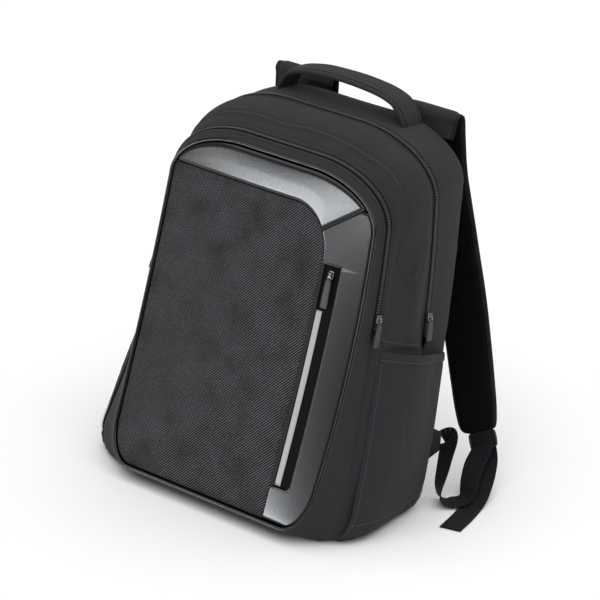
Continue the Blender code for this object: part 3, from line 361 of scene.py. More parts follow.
@dataclass(frozen=True)
class BagForm:
    """The lofted form that every cloth piece follows, with the sizes of the model."""

    half_width: float = 0.150
    height: float = 0.359
    lift: float = 0.021
    depth: float = 0.172
    front_y: float = -0.100
    slope: float = 0.467
    ease: float = 0.125
    top_wide: float = 0.098
    top_tall: float = 0.054
    low_wide: float = 0.038
    low_tall: float = 0.050
    swell: float = 0.0025
    flare_top: float = 0.55
    flare_power: float = 1.35
    flare_left: float = 2.05
    steps: tuple[int, int, int, int, int] = (20, 14, 170, 60, 40)

    def lean(self, z: Array) -> Array:
        """How far the front has gone back at a height: a slope that eases with height."""
        rise = (z - self.lift) / self.height
        return self.height * (self.slope * rise - self.ease * np.maximum(rise, 0) ** 2)

    def share_up(self, z: Array) -> Array:
        """Height as a share of the panel."""
        return np.clip((z - self.lift) / self.height, 0, 1.1)

    @property
    def panel_foot(self) -> float:
        """Height of the front panel's lowest edge."""
        return self.lift * SECTIONS[0, SECTION_NAMES.index("lift")]

    def behind_front(self, points: Array) -> Array:
        """How far points lie behind the leaning line of the front."""
        return points[..., 1] - self.lean(points[..., 2])

    def place(self, row: dict[str, Array], z: Array, back: Array | float = 0.0) -> Array:
        """Place along Y of heights on sections, moved back by a distance."""
        up = self.share_up(z)
        return (self.front_y + self.lean(z) + back
                + self.depth * (row["depth_low"] * (1 - up) + row["depth_high"] * up))

    def columns(self, t: Array) -> dict[str, Array]:
        """The section table at places of the loft, each column as rows by one."""
        table = through_rows(SECTIONS, np.atleast_1d(np.asarray(t, dtype=float)))
        return {name: table[:, k:k + 1] for k, name in enumerate(SECTION_NAMES)}

    def flare(self, row: dict[str, Array], z: Array, side: Side) -> Array:
        """How far the side stands out at a height: most at the foot, more on the left."""
        more = self.flare_left if side is Side.LEFT else 1.0
        fall = np.clip(1 - self.share_up(z) / self.flare_top, 0, 1) ** self.flare_power
        return self.half_width * row["flare"] * more * fall

    def crease(self, row: dict[str, Array], z: Array, side: Side) -> Array:
        """Push of the broad dents: bells over height and depth, scaled by softness."""
        up, push = self.share_up(z), 0.0
        for which, height, depth, tall, deep, amount in CREASES:
            if which in (side.value, 0):
                reach = ((up - height) / tall) ** 2 + ((row["depth_low"] - depth) / deep) ** 2
                push = push + amount * self.depth * np.exp(-reach)
        return push * row["soft"]

    def half(self, t: Array, side: Side, inset: float = 0.0) -> tuple[Array, Array]:
        """Half outlines, from the foot's middle to the top's: a foot line, an elliptic low
        corner, a swelling side, an elliptic top corner and a top line.

        Args:
            t: places of the loft.
            side: which half.
            inset: how far inside the outline.

        Returns:
            Distance out and height, rows by points.
        """
        row = self.columns(t)
        foot_steps, low_steps, side_steps, high_steps, top_steps = self.steps
        half = self.half_width * (1 + row["side"]) - inset
        foot = self.lift * row["lift"] + inset
        head = self.lift + self.height * (1 + row["top"]) - inset
        grow = self.half_width * row["side"]
        low_wide, low_tall = (size * row["low"] - inset for size in (self.low_wide, self.low_tall))
        top_wide, top_tall = (size + grow - inset for size in (self.top_wide, self.top_tall))
        low_out = half + self.flare(row, foot + low_tall, side)
        reach = np.linspace(0, 1, foot_steps, endpoint=False)[None]
        xs, zs = [(low_out - low_wide) * reach], [foot + 0 * reach]
        turn = np.linspace(-math.pi / 2, 0, low_steps, endpoint=False)[None]
        xs.append(low_out - low_wide + low_wide * np.cos(turn))
        zs.append(foot + low_tall + low_tall * np.sin(turn))
        along = np.linspace(0, 1, side_steps, endpoint=False)[None]
        rise = foot + low_tall + (head - top_tall - foot - low_tall) * along
        xs.append(half + self.swell * 4 * along * (1 - along) + self.flare(row, rise, side))
        zs.append(rise)
        turn = np.linspace(0, math.pi / 2, high_steps, endpoint=False)[None]
        xs.append(half - top_wide + top_wide * np.cos(turn))
        zs.append(head - top_tall + top_tall * np.sin(turn))
        reach = np.linspace(1, 0, top_steps)[None]
        xs.append((half - top_wide) * reach)
        zs.append(head + 0 * reach)
        x, z = np.concatenate(xs, axis=1), np.concatenate(zs, axis=1)
        out = x / x.max(axis=1, keepdims=True)
        return x + self.crease(row, z, side) * np.clip((out - 0.55) / 0.40, 0, 1), z

    def ring(self, t: Array, back: Array | float = 0.0, lift: Array | float = 0.0,
             inset: float = 0.0) -> Array:
        """Whole outlines in the world, round from the foot's middle by the right side.

        Args:
            t: places of the loft.
            back: how far each is moved back.
            lift: how far each stands out of the surface.
            inset: how far inside the outline.

        Returns:
            Rows by points by three.
        """
        t = np.atleast_1d(np.asarray(t, dtype=float))
        back, lift = (self.as_rows(v, len(t)) for v in (back, lift))
        right_x, right_z = self.half(t, Side.RIGHT, inset)
        left_x, left_z = self.half(t, Side.LEFT, inset)
        x = np.concatenate([right_x, -left_x[:, -2:0:-1]], axis=1)
        z = np.concatenate([right_z, left_z[:, -2:0:-1]], axis=1)
        y = self.place(self.columns(t), z, back)
        out_x, out_z = self.outward(x, z)
        return np.stack([x + out_x * lift, y, z + out_z * lift], axis=-1)

    @staticmethod
    def as_rows(value: Array | float, count: int) -> Array:
        """A number, one for each row or one for each point, as an array with rows."""
        value = np.asarray(value, dtype=float)
        return value if value.ndim == 2 else np.broadcast_to(value, count)[:, None]

    @staticmethod
    def outward(x: Array, z: Array) -> tuple[Array, Array]:
        """Outward directions of closed outlines, square to the line to their neighbours."""
        dx, dz = (np.roll(v, -1, axis=1) - np.roll(v, 1, axis=1) for v in (x, z))
        size = np.maximum(np.hypot(dx, dz), 1e-9)
        return dz / size, -dx / size

    def normals(self, grid: Array) -> Array:
        """Outward directions of a grid of rings, square to both of its ways."""
        down = np.gradient(grid, axis=0)
        round_way = np.roll(grid, -1, axis=1) - np.roll(grid, 1, axis=1)
        return unit(np.cross(round_way, down))

    def ring_uv(self, grid: Array) -> Array:
        """Places in metres on a grid of rings: along the ring, and across the rings."""
        rows = len(grid)
        steps = np.linalg.norm(np.diff(grid, axis=0), axis=2).mean(axis=1)
        across = np.concatenate([[0], np.cumsum(steps)])
        return places_grid(arc_length(grid[rows // 2], closed=True), across)

    def side_rows(self, t: Array, z: Array, side: Side) -> Array:
        """Points up a side of the bag at given heights, one row of heights for each place."""
        x, height = self.half(t, side)
        start, stop = self.steps[0], sum(self.steps[:4])
        out = np.stack([np.interp(level, heights[start:stop], widths[start:stop])
                        for level, heights, widths in zip(z, height, x)])
        y = self.place(self.columns(t), z)
        return np.stack([side.value * out, y, z], axis=-1)

    def seat(self, station: Station, height: float, side: Side) -> tuple[Array, Array, Array, Array]:
        """Frame on the side of a section: point, out, along (down) and across."""
        z = np.array([[height, height - 0.004, height + 0.004]])
        at, low, high = self.side_rows(np.array([station.value]), z, side)[0]
        along = unit(low - high)
        out = np.array([float(side.value), 0, 0])
        out = unit(out - along * (out @ along))
        return at, out, along, np.cross(out, along)

    def behind(self, rows: Array, lift: float = 0.0) -> Array:
        """World points of rows of out, back and height, as shares of the bag's sizes."""
        z = rows[:, 2] * self.height + lift
        y = self.front_y + self.lean(z) + rows[:, 1] * self.depth
        return np.column_stack([rows[:, 0] * self.half_width, y, z])


@dataclass(frozen=True)
class Graph:
    """Node tree of a material, to which a pattern adds its nodes."""

    tree: bpy.types.NodeTree

    def add(self, kind: str, output: int | str = 0, **given) -> bpy.types.NodeSocket:
        """Adds a node with its settings and links.

        Args:
            kind: the node's type, after the word ShaderNode.
            output: name or number of the wanted output.
            given: properties of the node, and values or sockets for its inputs, each by the
                input's name, or by i and its number.

        Returns:
            The wanted output.
        """
        made = self.tree.nodes.new("ShaderNode" + kind)
        for key, value in given.items():
            if hasattr(made, key):
                setattr(made, key, value)
                continue
            numbered = key[0] == "i" and key[1:].isdigit()
            socket = made.inputs[int(key[1:]) if numbered else key]
            if isinstance(value, bpy.types.NodeSocket):
                self.tree.links.new(value, socket)
            else:
                socket.default_value = value
        return made.outputs[output]

    def wave(self, place: bpy.types.NodeSocket, way: tuple[float, float, float]) -> bpy.types.NodeSocket:
        """Wave from 0 to 1, whose turns along each axis are given per metre."""
        turns = tuple(2 * math.pi * w for w in way)
        dot = self.add("VectorMath", "Value", operation="DOT_PRODUCT", i0=place, i1=turns)
        sine = self.add("Math", operation="SINE", i0=dot)
        return self.add("Math", operation="MULTIPLY_ADD", i0=sine, i1=0.5, i2=0.5)


@dataclass(frozen=True)
class Finish:
    """A real material: its colour and gloss, and the relief, tones and sizes of its small pattern."""

    name: str
    colour: str
    roughness: float
    metallic: float = 0.0
    sheen: float = 0.0
    specular: float = 0.5
    relief: float = 0.06 * MM
    tones: tuple[float, float] = (0.85, 1.15)
    grain: float = 1.111 * MM

    @staticmethod
    def linear(code: str) -> tuple[float, float, float, float]:
        """Scene-linear colour of an sRGB hex code."""
        parts = [int(code[k:k + 2], 16) / 255 for k in (1, 3, 5)]
        return (*[p / 12.92 if p <= 0.04045 else ((p + 0.055) / 1.055) ** 2.4 for p in parts], 1.0)

    def material(self) -> bpy.types.Material:
        """Material with the constants on the shader, tinted and raised by the pattern."""
        made = bpy.data.materials.new(self.name)
        made.use_nodes = True
        graph, base = Graph(made.node_tree), self.linear(self.colour)
        shader = graph.tree.nodes["Principled BSDF"]
        shader.inputs["Base Color"].default_value = base
        shader.inputs["Roughness"].default_value = self.roughness
        shader.inputs["Metallic"].default_value = self.metallic
        shader.inputs["Sheen Weight"].default_value = self.sheen
        shader.inputs["Sheen Roughness"].default_value = 0.6
        shader.inputs["Specular IOR Level"].default_value = self.specular
        height, share = self.pattern(graph)
        low, high = (tuple(min(1.0, c * k) for c in base[:3]) + (1.0,) for k in self.tones)
        tint = graph.add("Mix", 2, data_type="RGBA", i0=share, i6=low, i7=high)
        graph.tree.links.new(tint, shader.inputs["Base Color"])
        if height is not None:
            bump = graph.add("Bump", "Normal", Height=height, Strength=1.0, Distance=self.relief)
            graph.tree.links.new(bump, shader.inputs["Normal"])
        return made

    def pattern(self, graph: Graph) -> tuple[bpy.types.NodeSocket | None, bpy.types.NodeSocket]:
        """Adds the small pattern; a plain finish has faint unevenness.

        Args:
            graph: the material's node tree.

        Returns:
            The relief's height, or None where there is no relief, and the share of the second tone.
        """
        place = graph.add("TexCoord", "Object")
        noise = graph.add("TexNoise", "Fac", Vector=place, Scale=1 / self.grain, Detail=2.0)
        return noise, noise


@dataclass(frozen=True)
class RibbedNylon(Finish):
    """Ribbed nylon weave: slanting ribs of matt yarn, with painted shade that darkens the gaps between
    them.
    """

    relief: float = 0.9 * MM
    # Near black for the painted shade in the grooves, light for the ribs' crests
    tones: tuple[float, float] = (0.02, 12.0)
    pitch: float = 2.5 * MM
    slant: float = 46.0
    twist: float = 120.0
    waver: float = 4.167 * MM
    cloud: float = 38.46 * MM
    fleck: float = 3.03 * MM

    def pattern(self, graph: Graph) -> tuple[bpy.types.NodeSocket, bpy.types.NodeSocket]:
        """Ribs that rise to the right, each of short twisted stitches, with clouds and flecks; the tint
        follows the ribs' height, painting shade into the grooves.
        """
        place = graph.add("TexCoord", "UV")
        noise = graph.add("TexNoise", "Color", Vector=place, Scale=1 / self.waver, Detail=2.0)
        shift = graph.add("VectorMath", operation="MULTIPLY_ADD", i0=noise, i1=(MM, MM, 0), i2=place)
        angle, stitches = math.radians(self.slant), 0.8 * self.pitch
        rib = graph.wave(shift, (-math.sin(angle) / self.pitch, math.cos(angle) / self.pitch, 0))
        stitch = graph.wave(shift, (math.cos(angle) / stitches, math.sin(angle) / stitches + self.twist, 0))
        ribs = graph.add("Math", operation="MULTIPLY", i0=rib, i1=0.85)
        top = graph.add("Math", operation="MULTIPLY_ADD", i0=stitch, i1=0.25, i2=ribs)
        # Crests light and grooves near black: painted shade between the ribs, on top of the relief
        painted_rib_shade = graph.add("Math", operation="POWER", i0=top, i1=4.0)
        cloud = graph.add("TexNoise", "Fac", Vector=place, Scale=1 / self.cloud, Detail=3.0)
        clouds = graph.add("Math", operation="MULTIPLY_ADD", i0=cloud, i1=2.4, i2=-0.2)
        fleck = graph.add("TexNoise", "Fac", Vector=place, Scale=1 / self.fleck, Detail=1.0)
        flecks = graph.add("Math", operation="MULTIPLY", i0=fleck, i1=2.0)
        uneven = graph.add("Math", operation="MULTIPLY", i0=clouds, i1=flecks)
        return top, graph.add("Math", operation="MULTIPLY", i0=painted_rib_shade, i1=uneven)


@dataclass(frozen=True)
class PlainCloth(Finish):
    """Plain woven polyester: fine crossing threads, matt with a faint sheen."""

    relief: float = 0.3 * MM
    tones: tuple[float, float] = (0.10, 1.85)
    pitch: float = 0.9 * MM
    slub: float = 1.923 * MM

    def pattern(self, graph: Graph) -> tuple[bpy.types.NodeSocket, bpy.types.NodeSocket]:
        """Crossing threads drawn about twice as coarse as real ones, so that they show."""
        place = graph.add("TexCoord", "UV")
        warp, weft = graph.wave(place, (1 / self.pitch, 0, 0)), graph.wave(place, (0, 1 / self.pitch, 0))
        both = graph.add("Math", operation="ADD", i0=warp, i1=weft)
        threads = graph.add("Math", operation="MULTIPLY", i0=both, i1=0.35)
        slubs = graph.add("TexNoise", "Fac", Vector=place, Scale=1 / self.slub, Detail=4.0, Roughness=0.7)
        mixed = graph.add("Math", operation="MULTIPLY_ADD", i0=slubs, i1=0.7, i2=threads)
        return mixed, mixed


@dataclass(frozen=True)
class Leather(Finish):
    """Smooth polyurethane leather: very fine pebble grain under a satin surface."""

    relief: float = 0.022 * MM
    tones: tuple[float, float] = (0.85, 1.2)
    grain: float = 0.7143 * MM
    cloud: float = 16.67 * MM

    def pattern(self, graph: Graph) -> tuple[bpy.types.NodeSocket, bpy.types.NodeSocket]:
        """Rounded pebbles, and faint clouding."""
        place = graph.add("TexCoord", "Object")
        pebbles = graph.add("TexVoronoi", "Distance", feature="SMOOTH_F1", Vector=place,
                            Scale=1 / self.grain)
        return pebbles, graph.add("TexNoise", "Fac", Vector=place, Scale=1 / self.cloud, Detail=3.0)


@dataclass(frozen=True)
class Webbed(Finish):
    """Woven band: close ribs across it, drawn a little coarser than real ones so that they show."""

    relief: float = 0.6 * MM
    tones: tuple[float, float] = (0.3, 3.2)
    pitch: float = 2.3 * MM

    def pattern(self, graph: Graph) -> tuple[bpy.types.NodeSocket, bpy.types.NodeSocket]:
        """Ribs across the band, with narrow dark gaps."""
        rib = graph.wave(graph.add("TexCoord", "UV"), (0, 1 / self.pitch, 0))
        return rib, graph.add("Math", operation="POWER", i0=rib, i1=1.5)


@dataclass(frozen=True)
class Mesh3D(Finish):
    """Spacer mesh: matt knit with rows of small holes."""

    relief: float = -0.4 * MM
    tones: tuple[float, float] = (1.4, 0.3)
    pitch: float = 2.6 * MM

    def pattern(self, graph: Graph) -> tuple[bpy.types.NodeSocket, bpy.types.NodeSocket]:
        """Holes on a slanting lattice."""
        place, across, up = graph.add("TexCoord", "UV"), 1 / self.pitch, 0.6 / self.pitch
        one, other = graph.wave(place, (across, up, 0)), graph.wave(place, (-across, up, 0))
        holes = graph.add("Math", operation="MULTIPLY", i0=one, i1=other)
        return holes, holes


@dataclass(frozen=True)
class Reflective(Finish):
    """Reflective tape: fine glass beads under a printed lattice."""

    tones: tuple[float, float] = (0.72, 1.12)
    pitch: float = 2.381 * MM

    def pattern(self, graph: Graph) -> tuple[None, bpy.types.NodeSocket]:
        """Small cells with darker lines between them, without relief."""
        place, step = graph.add("TexCoord", "UV"), 1 / self.pitch
        one, other = graph.wave(place, (step, step, 0)), graph.wave(place, (-step, step, 0))
        return None, graph.add("Math", operation="MULTIPLY", i0=one, i1=other)


class Finishes:
    """Every finish of the bag, made once."""

    def __init__(self) -> None:
        """Makes the materials."""
        self.cloth = PlainCloth("plain_polyester_cloth", "#272629", 0.85, sheen=0.03,
                                specular=0.18).material()
        self.ribbed = RibbedNylon("ribbed_nylon_weave", "#202022", 0.55, specular=0.22).material()
        self.leather = Leather("smooth_pu_leather", "#101013", 0.21, specular=0.44).material()
        self.tape = PlainCloth("black_zip_tape", "#08080a", 0.85, specular=0.15).material()
        self.coil = Finish("nylon_zip_coil", "#26262a", 0.28, specular=0.8).material()
        self.reflective = Reflective("reflective_tape", "#c2c2c0", 0.42).material()
        self.gunmetal = Finish("gunmetal_plated_zinc", "#77777d", 0.16, metallic=1.0).material()
        self.pull = Finish("matt_painted_zinc", "#39393b", 0.45, specular=0.35).material()
        self.mesh = Mesh3D("black_spacer_mesh", "#0d0d11", 0.92, specular=0.08).material()
        self.binding = PlainCloth("black_edge_binding", "#1e1e22", 0.80, specular=0.20).material()
        self.webbing = Webbed("polypropylene_webbing", "#131317", 0.70, specular=0.20).material()
        self.acetal = Finish("moulded_acetal", "#151518", 0.38).material()
        self.thread = Finish("polyester_thread", "#5c5c62", 0.70, specular=0.2).material()


def dress(piece: bpy.types.Object, material: bpy.types.Material, slot: str,
          *nodes: str) -> bpy.types.Object:
    """Gives a piece its finish and hides the nodes of the model that it stands for."""
    piece.data.materials.clear()
    piece.data.materials.append(material)
    if nodes:
        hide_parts(*nodes)
    LOG.info("%s: %d faces", piece.name, len(piece.data.polygons))
    return piece


def solidify(piece: bpy.types.Object, thickness: float) -> bpy.types.Object:
    """Gives an open sheet its wall, inwards of the surface."""
    wall = piece.modifiers.new("wall", "SOLIDIFY")
    wall.thickness = thickness
    wall.offset = -1.0
    wall.use_even_offset = False
    return piece


class Stitching:
    """Lines of machine stitches: short rounded threads laid end to end, all in one mesh."""

    def __init__(self, finishes: Finishes, pitch: float = 3.3 * MM, length: float = 2.4 * MM,
                 radius: float = 0.30 * MM) -> None:
        """Starts with no lines.

        Args:
            finishes: the finishes, for the thread.
            pitch: from one stitch to the next.
            length: of one stitch.
            radius: of the thread.
        """
        self.finishes, self.pitch, self.length, self.radius = finishes, pitch, length, radius
        self.places: list[Array] = []
        self.axes: list[Array] = []

    def add(self, points: Array, out: Array) -> None:
        """Adds a line of stitches along points, with the way out of the surface at each."""
        count = max(3, int(arc_length(points)[-1] / self.pitch))
        points, out = resample(points, count, np.broadcast_to(out, points.shape))
        tangent = unit(np.gradient(points, axis=0))
        out = unit(out - tangent * np.sum(out * tangent, axis=1, keepdims=True))
        self.places.append(points + out * 0.6 * self.radius)
        self.axes.append(np.stack([tangent, np.cross(out, tangent), out], axis=1))

    def build(self) -> None:
        """Makes every stitch: a capsule of six sides, whose ends dip into the cloth."""
        along = np.array([-1.0, -0.82, 0.0, 0.82, 1.0])
        size = np.array([0.45, 0.9, 1.0, 0.9, 0.45]) * self.radius
        turn = np.linspace(0, 2 * math.pi, 6, endpoint=False)
        shape = np.stack([
            np.repeat(along[:, None] * self.length / 2, 6, axis=1),
            size[:, None] * np.cos(turn)[None],
            size[:, None] * np.sin(turn)[None] - (np.abs(along) ** 3 * 0.8 * self.radius)[:, None],
        ], axis=-1).reshape(-1, 3)
        caps = np.array([[0, 1, 2, 3], [0, 3, 4, 5]])
        quads = np.concatenate([Mesher.grid_faces(5, 6, True), caps[:, ::-1], caps + 24])
        piece = Mesher.copies("stitches", (shape, quads), np.concatenate(self.places),
                              np.concatenate(self.axes))
        dress(piece, self.finishes.thread, "fabric")


# Height at which each zip ends on both sides
ZIP_ENDS = {Station.ZIP_FRONT: 0.226, Station.ZIP_MAIN: 0.194}


@dataclass
class BagCloth:
    """The cloth of the bag: the gusset in front, the middle and the rear with its padded back."""

    form: BagForm
    finishes: Finishes
    stitching: Stitching
    wall: float = 1.4 * MM
    slit: float = 4.1 * MM
    lip: float = 1.1 * MM
    back_bow: float = 4.0 * MM
    closed: float = 0.12 * MM
    stitch_aside: float = 5.3 * MM
    low_seam: float = 0.2165
    low_seam_fall: float = 0.030

    def lip_lift(self, away: Array) -> Array:
        """Height of the folded edge beside a zip: up from the tape, then down to a stitched groove."""
        rise = ramp(away, self.slit - 0.3 * MM, self.slit + 1.0 * MM)
        fall = 1 - ramp(away, self.slit + 2.0 * MM, self.slit + 3.4 * MM)
        swell = 0.45 * MM * bump(away, self.slit + 5.4 * MM, 2.0 * MM)
        return self.lip * np.minimum(rise, fall) - 0.7 * MM * (1 - rise) + swell

    def opening(self, z: Array, station: Station) -> Array:
        """Share by which a zip's slit is open at a height: none below its ends."""
        end = ZIP_ENDS[station]
        return ramp(z, end - 0.014, end - 0.002)

    def band(self, start: Station, stop: Station, shares: Array) -> Array:
        """Rings of cloth between two stations, with folded edges where one of them is a zip.

        Args:
            start: the nearer station.
            stop: the further one.
            shares: places between them, from 0 to 1.

        Returns:
            Rows by points by three.
        """
        form = self.form
        t = start.value + (stop.value - start.value) * shares
        z = form.ring(t)[..., 2]
        back = np.zeros_like(z)
        for station, way, near in ((start, 1, 1 - shares), (stop, -1, shares)):
            if station in ZIP_ENDS:
                half = self.closed + (self.slit - self.closed) * self.opening(z, station)
                back += way * near[:, None] * half
        moved = form.ring(t, back)
        depth = form.behind_front(moved)
        lift = np.zeros_like(z)
        for station in (start, stop):
            if station in ZIP_ENDS:
                line = form.ring(float(station.value))[0]
                away = np.abs(depth - form.behind_front(line)[None])
                gap = self.opening(z, station)
                lift += gap * self.lip_lift(away) - (1 - gap) * 0.8 * MM * bump(away, 0.0, 1.3 * MM)
        return form.ring(t, back, lift)

    def folds(self, grid: Array, amount: float, seed: int) -> Array:
        """Grid with soft folds along its normals, faded out where the cloth is sewn."""
        broad = ripple(grid, 0.070, seed, stretch=(1.0, 1.0, 2.2))
        sharp = ripple(grid, 0.034, seed + 1, stretch=(1.0, 1.3, 2.0))
        crease = -np.clip(1 - np.abs(sharp) * 3.0, 0, 1) ** 2
        side = 1 - 0.7 * ramp(grid[..., 2], 0.33, 0.39)
        push = amount * side * (0.9 * broad + 0.4 * crease * ramp(broad, -0.1, 0.5))
        rows, row = len(grid), np.arange(len(grid))
        fade = ramp(row, rows * 0.04, rows * 0.28) * (1 - ramp(row, rows * 0.74, rows * 0.97))
        moved = grid + self.form.normals(grid) * (push * fade[:, None])[:, :, None]
        moved[..., 2] = np.maximum(moved[..., 2], 0.3 * MM)
        return moved

    def sheet(self, name: str, grid: Array, node: str) -> bpy.types.Object:
        """Cloth wall over a grid of rings."""
        made = Mesher.grid(name, grid, wrap=True, uv=self.form.ring_uv(grid))
        return solidify(dress(made, self.finishes.cloth, "fabric", node), self.wall)

    def stitch_ring(self, station: Station, back: float, low: float, lift: float) -> None:
        """Stitches along an outline, down to a height on both sides."""
        ring = self.form.ring(float(station.value), back, lift)[0]
        out_x, out_z = self.form.outward(ring[None, :, 0], ring[None, :, 2])
        out = np.column_stack([out_x[0], np.zeros(len(ring)), out_z[0]])
        keep = ring[:, 2] > low
        self.stitching.add(ring[keep], out[keep])

    def front(self) -> None:
        """Narrow gusset from the piping to the front zip."""
        shares = 1 - (1 - np.linspace(0, 1, 44)) ** 1.25
        grid = self.band(Station.PANEL, Station.ZIP_FRONT, shares)
        self.sheet("front_gusset_cloth", grid, "front_gusset")
        self.stitch_ring(Station.ZIP_FRONT, -self.stitch_aside, 0.225, 0.0)

    def middle(self) -> None:
        """Wide gusset between the two zips, with soft folds and two sewn seams."""
        shares = 0.5 - 0.5 * np.cos(np.linspace(0, math.pi, 110))
        grid = self.band(Station.ZIP_FRONT, Station.ZIP_MAIN, shares)
        grid = self.folds(grid, 4.2 * MM, 11)
        line = self.form.ring(float(Station.SEAM.value))[0]
        away = self.form.behind_front(grid) - self.form.behind_front(line)[None]
        shown = ramp(grid[..., 2], 0.19, 0.23)
        seam = shown * (-1.1 * MM * bump(away, 0, 1.3 * MM) + 0.7 * MM * bump(away, 2.6 * MM, 1.6 * MM))
        level = self.low_seam - self.low_seam_fall * shares[:, None]
        high = grid[..., 2] - level
        seam += -0.8 * MM * bump(high, 0, 1.5 * MM) + 0.4 * MM * bump(high, -3.0 * MM, 1.8 * MM)
        grid = grid + self.form.normals(grid) * seam[..., None]
        self.sheet("middle_cloth", grid, "middle_shell")
        self.stitch_ring(Station.ZIP_FRONT, self.stitch_aside, 0.225, 0.2 * MM)
        self.stitch_ring(Station.ZIP_MAIN, -self.stitch_aside, 0.20, 0.2 * MM)
        cols = grid.shape[1]
        for half in (grid[:, : cols // 2], grid[:, cols // 2:]):
            near = np.argmin(np.abs(half[..., 2] - level - 2.6 * MM) + (half[..., 2] < 0.1), axis=1)
            points = half[np.arange(len(half)), near][3:-3]
            out = np.sign(points[:, :1]) * np.array([[1.0, 0, 0]])
            self.stitching.add(points + out * 0.1 * MM, out)

    def rear(self) -> None:
        """Gusset behind the main zip and the padded back panel, closed in the middle."""
        grid = self.band(Station.ZIP_MAIN, Station.BACK, np.linspace(0, 1, 64) ** 1.3)
        grid = self.folds(grid, 1.4 * MM, 23)
        rim = grid[-1]
        middle = np.array([0.0, 0.0, self.form.lift + self.form.height / 2])
        shares = np.cos(np.linspace(0, math.pi / 2, 36))[1:-1]
        z = middle[2] + (rim[:, 2] - middle[2])[None] * shares[:, None]
        x = rim[:, 0][None] * shares[:, None]
        row = self.form.columns(np.full(len(shares), float(Station.BACK.value)))
        y = self.form.place(row, z, self.back_bow * (1 - shares[:, None] ** 2))
        grid = np.concatenate([grid, np.stack([x, y, z], axis=-1)])
        rows, cols = grid.shape[:2]
        verts = np.vstack([grid.reshape(-1, 3), grid[-1].mean(axis=0)])
        ring = np.arange(cols)
        fans = list(np.stack([(rows - 1) * cols + ring, (rows - 1) * cols + (ring + 1) % cols,
                              np.full(cols, rows * cols)], axis=1))
        made = Mesher.piece("rear_cloth", verts, Mesher.grid_faces(rows, cols, True),
                            uv=Mesher.corners(self.form.ring_uv(grid), cols), fans=fans)
        solidify(dress(made, self.finishes.cloth, "fabric", "rear_shell"), self.wall)
        self.stitch_ring(Station.ZIP_MAIN, self.stitch_aside, 0.20, 0.2 * MM)

    def divider(self) -> None:
        """Cloth divider behind the front pocket."""
        rim = self.form.ring(2.0, 3.0 * MM, -2.0 * MM)[0]
        middle = rim.mean(axis=0)
        grid = middle + (rim - middle)[None] * np.linspace(1, 0.02, 8)[:, None, None]
        made = Mesher.grid("pocket_divider", grid, wrap=True, uv=self.form.ring_uv(grid),
                           facing=np.array([0, -1.0, 0.3]))
        solidify(dress(made, self.finishes.cloth, "fabric"), self.wall)

    def build(self) -> None:
        """Makes every cloth piece."""
        self.front()
        self.middle()
        self.rear()
        self.divider()


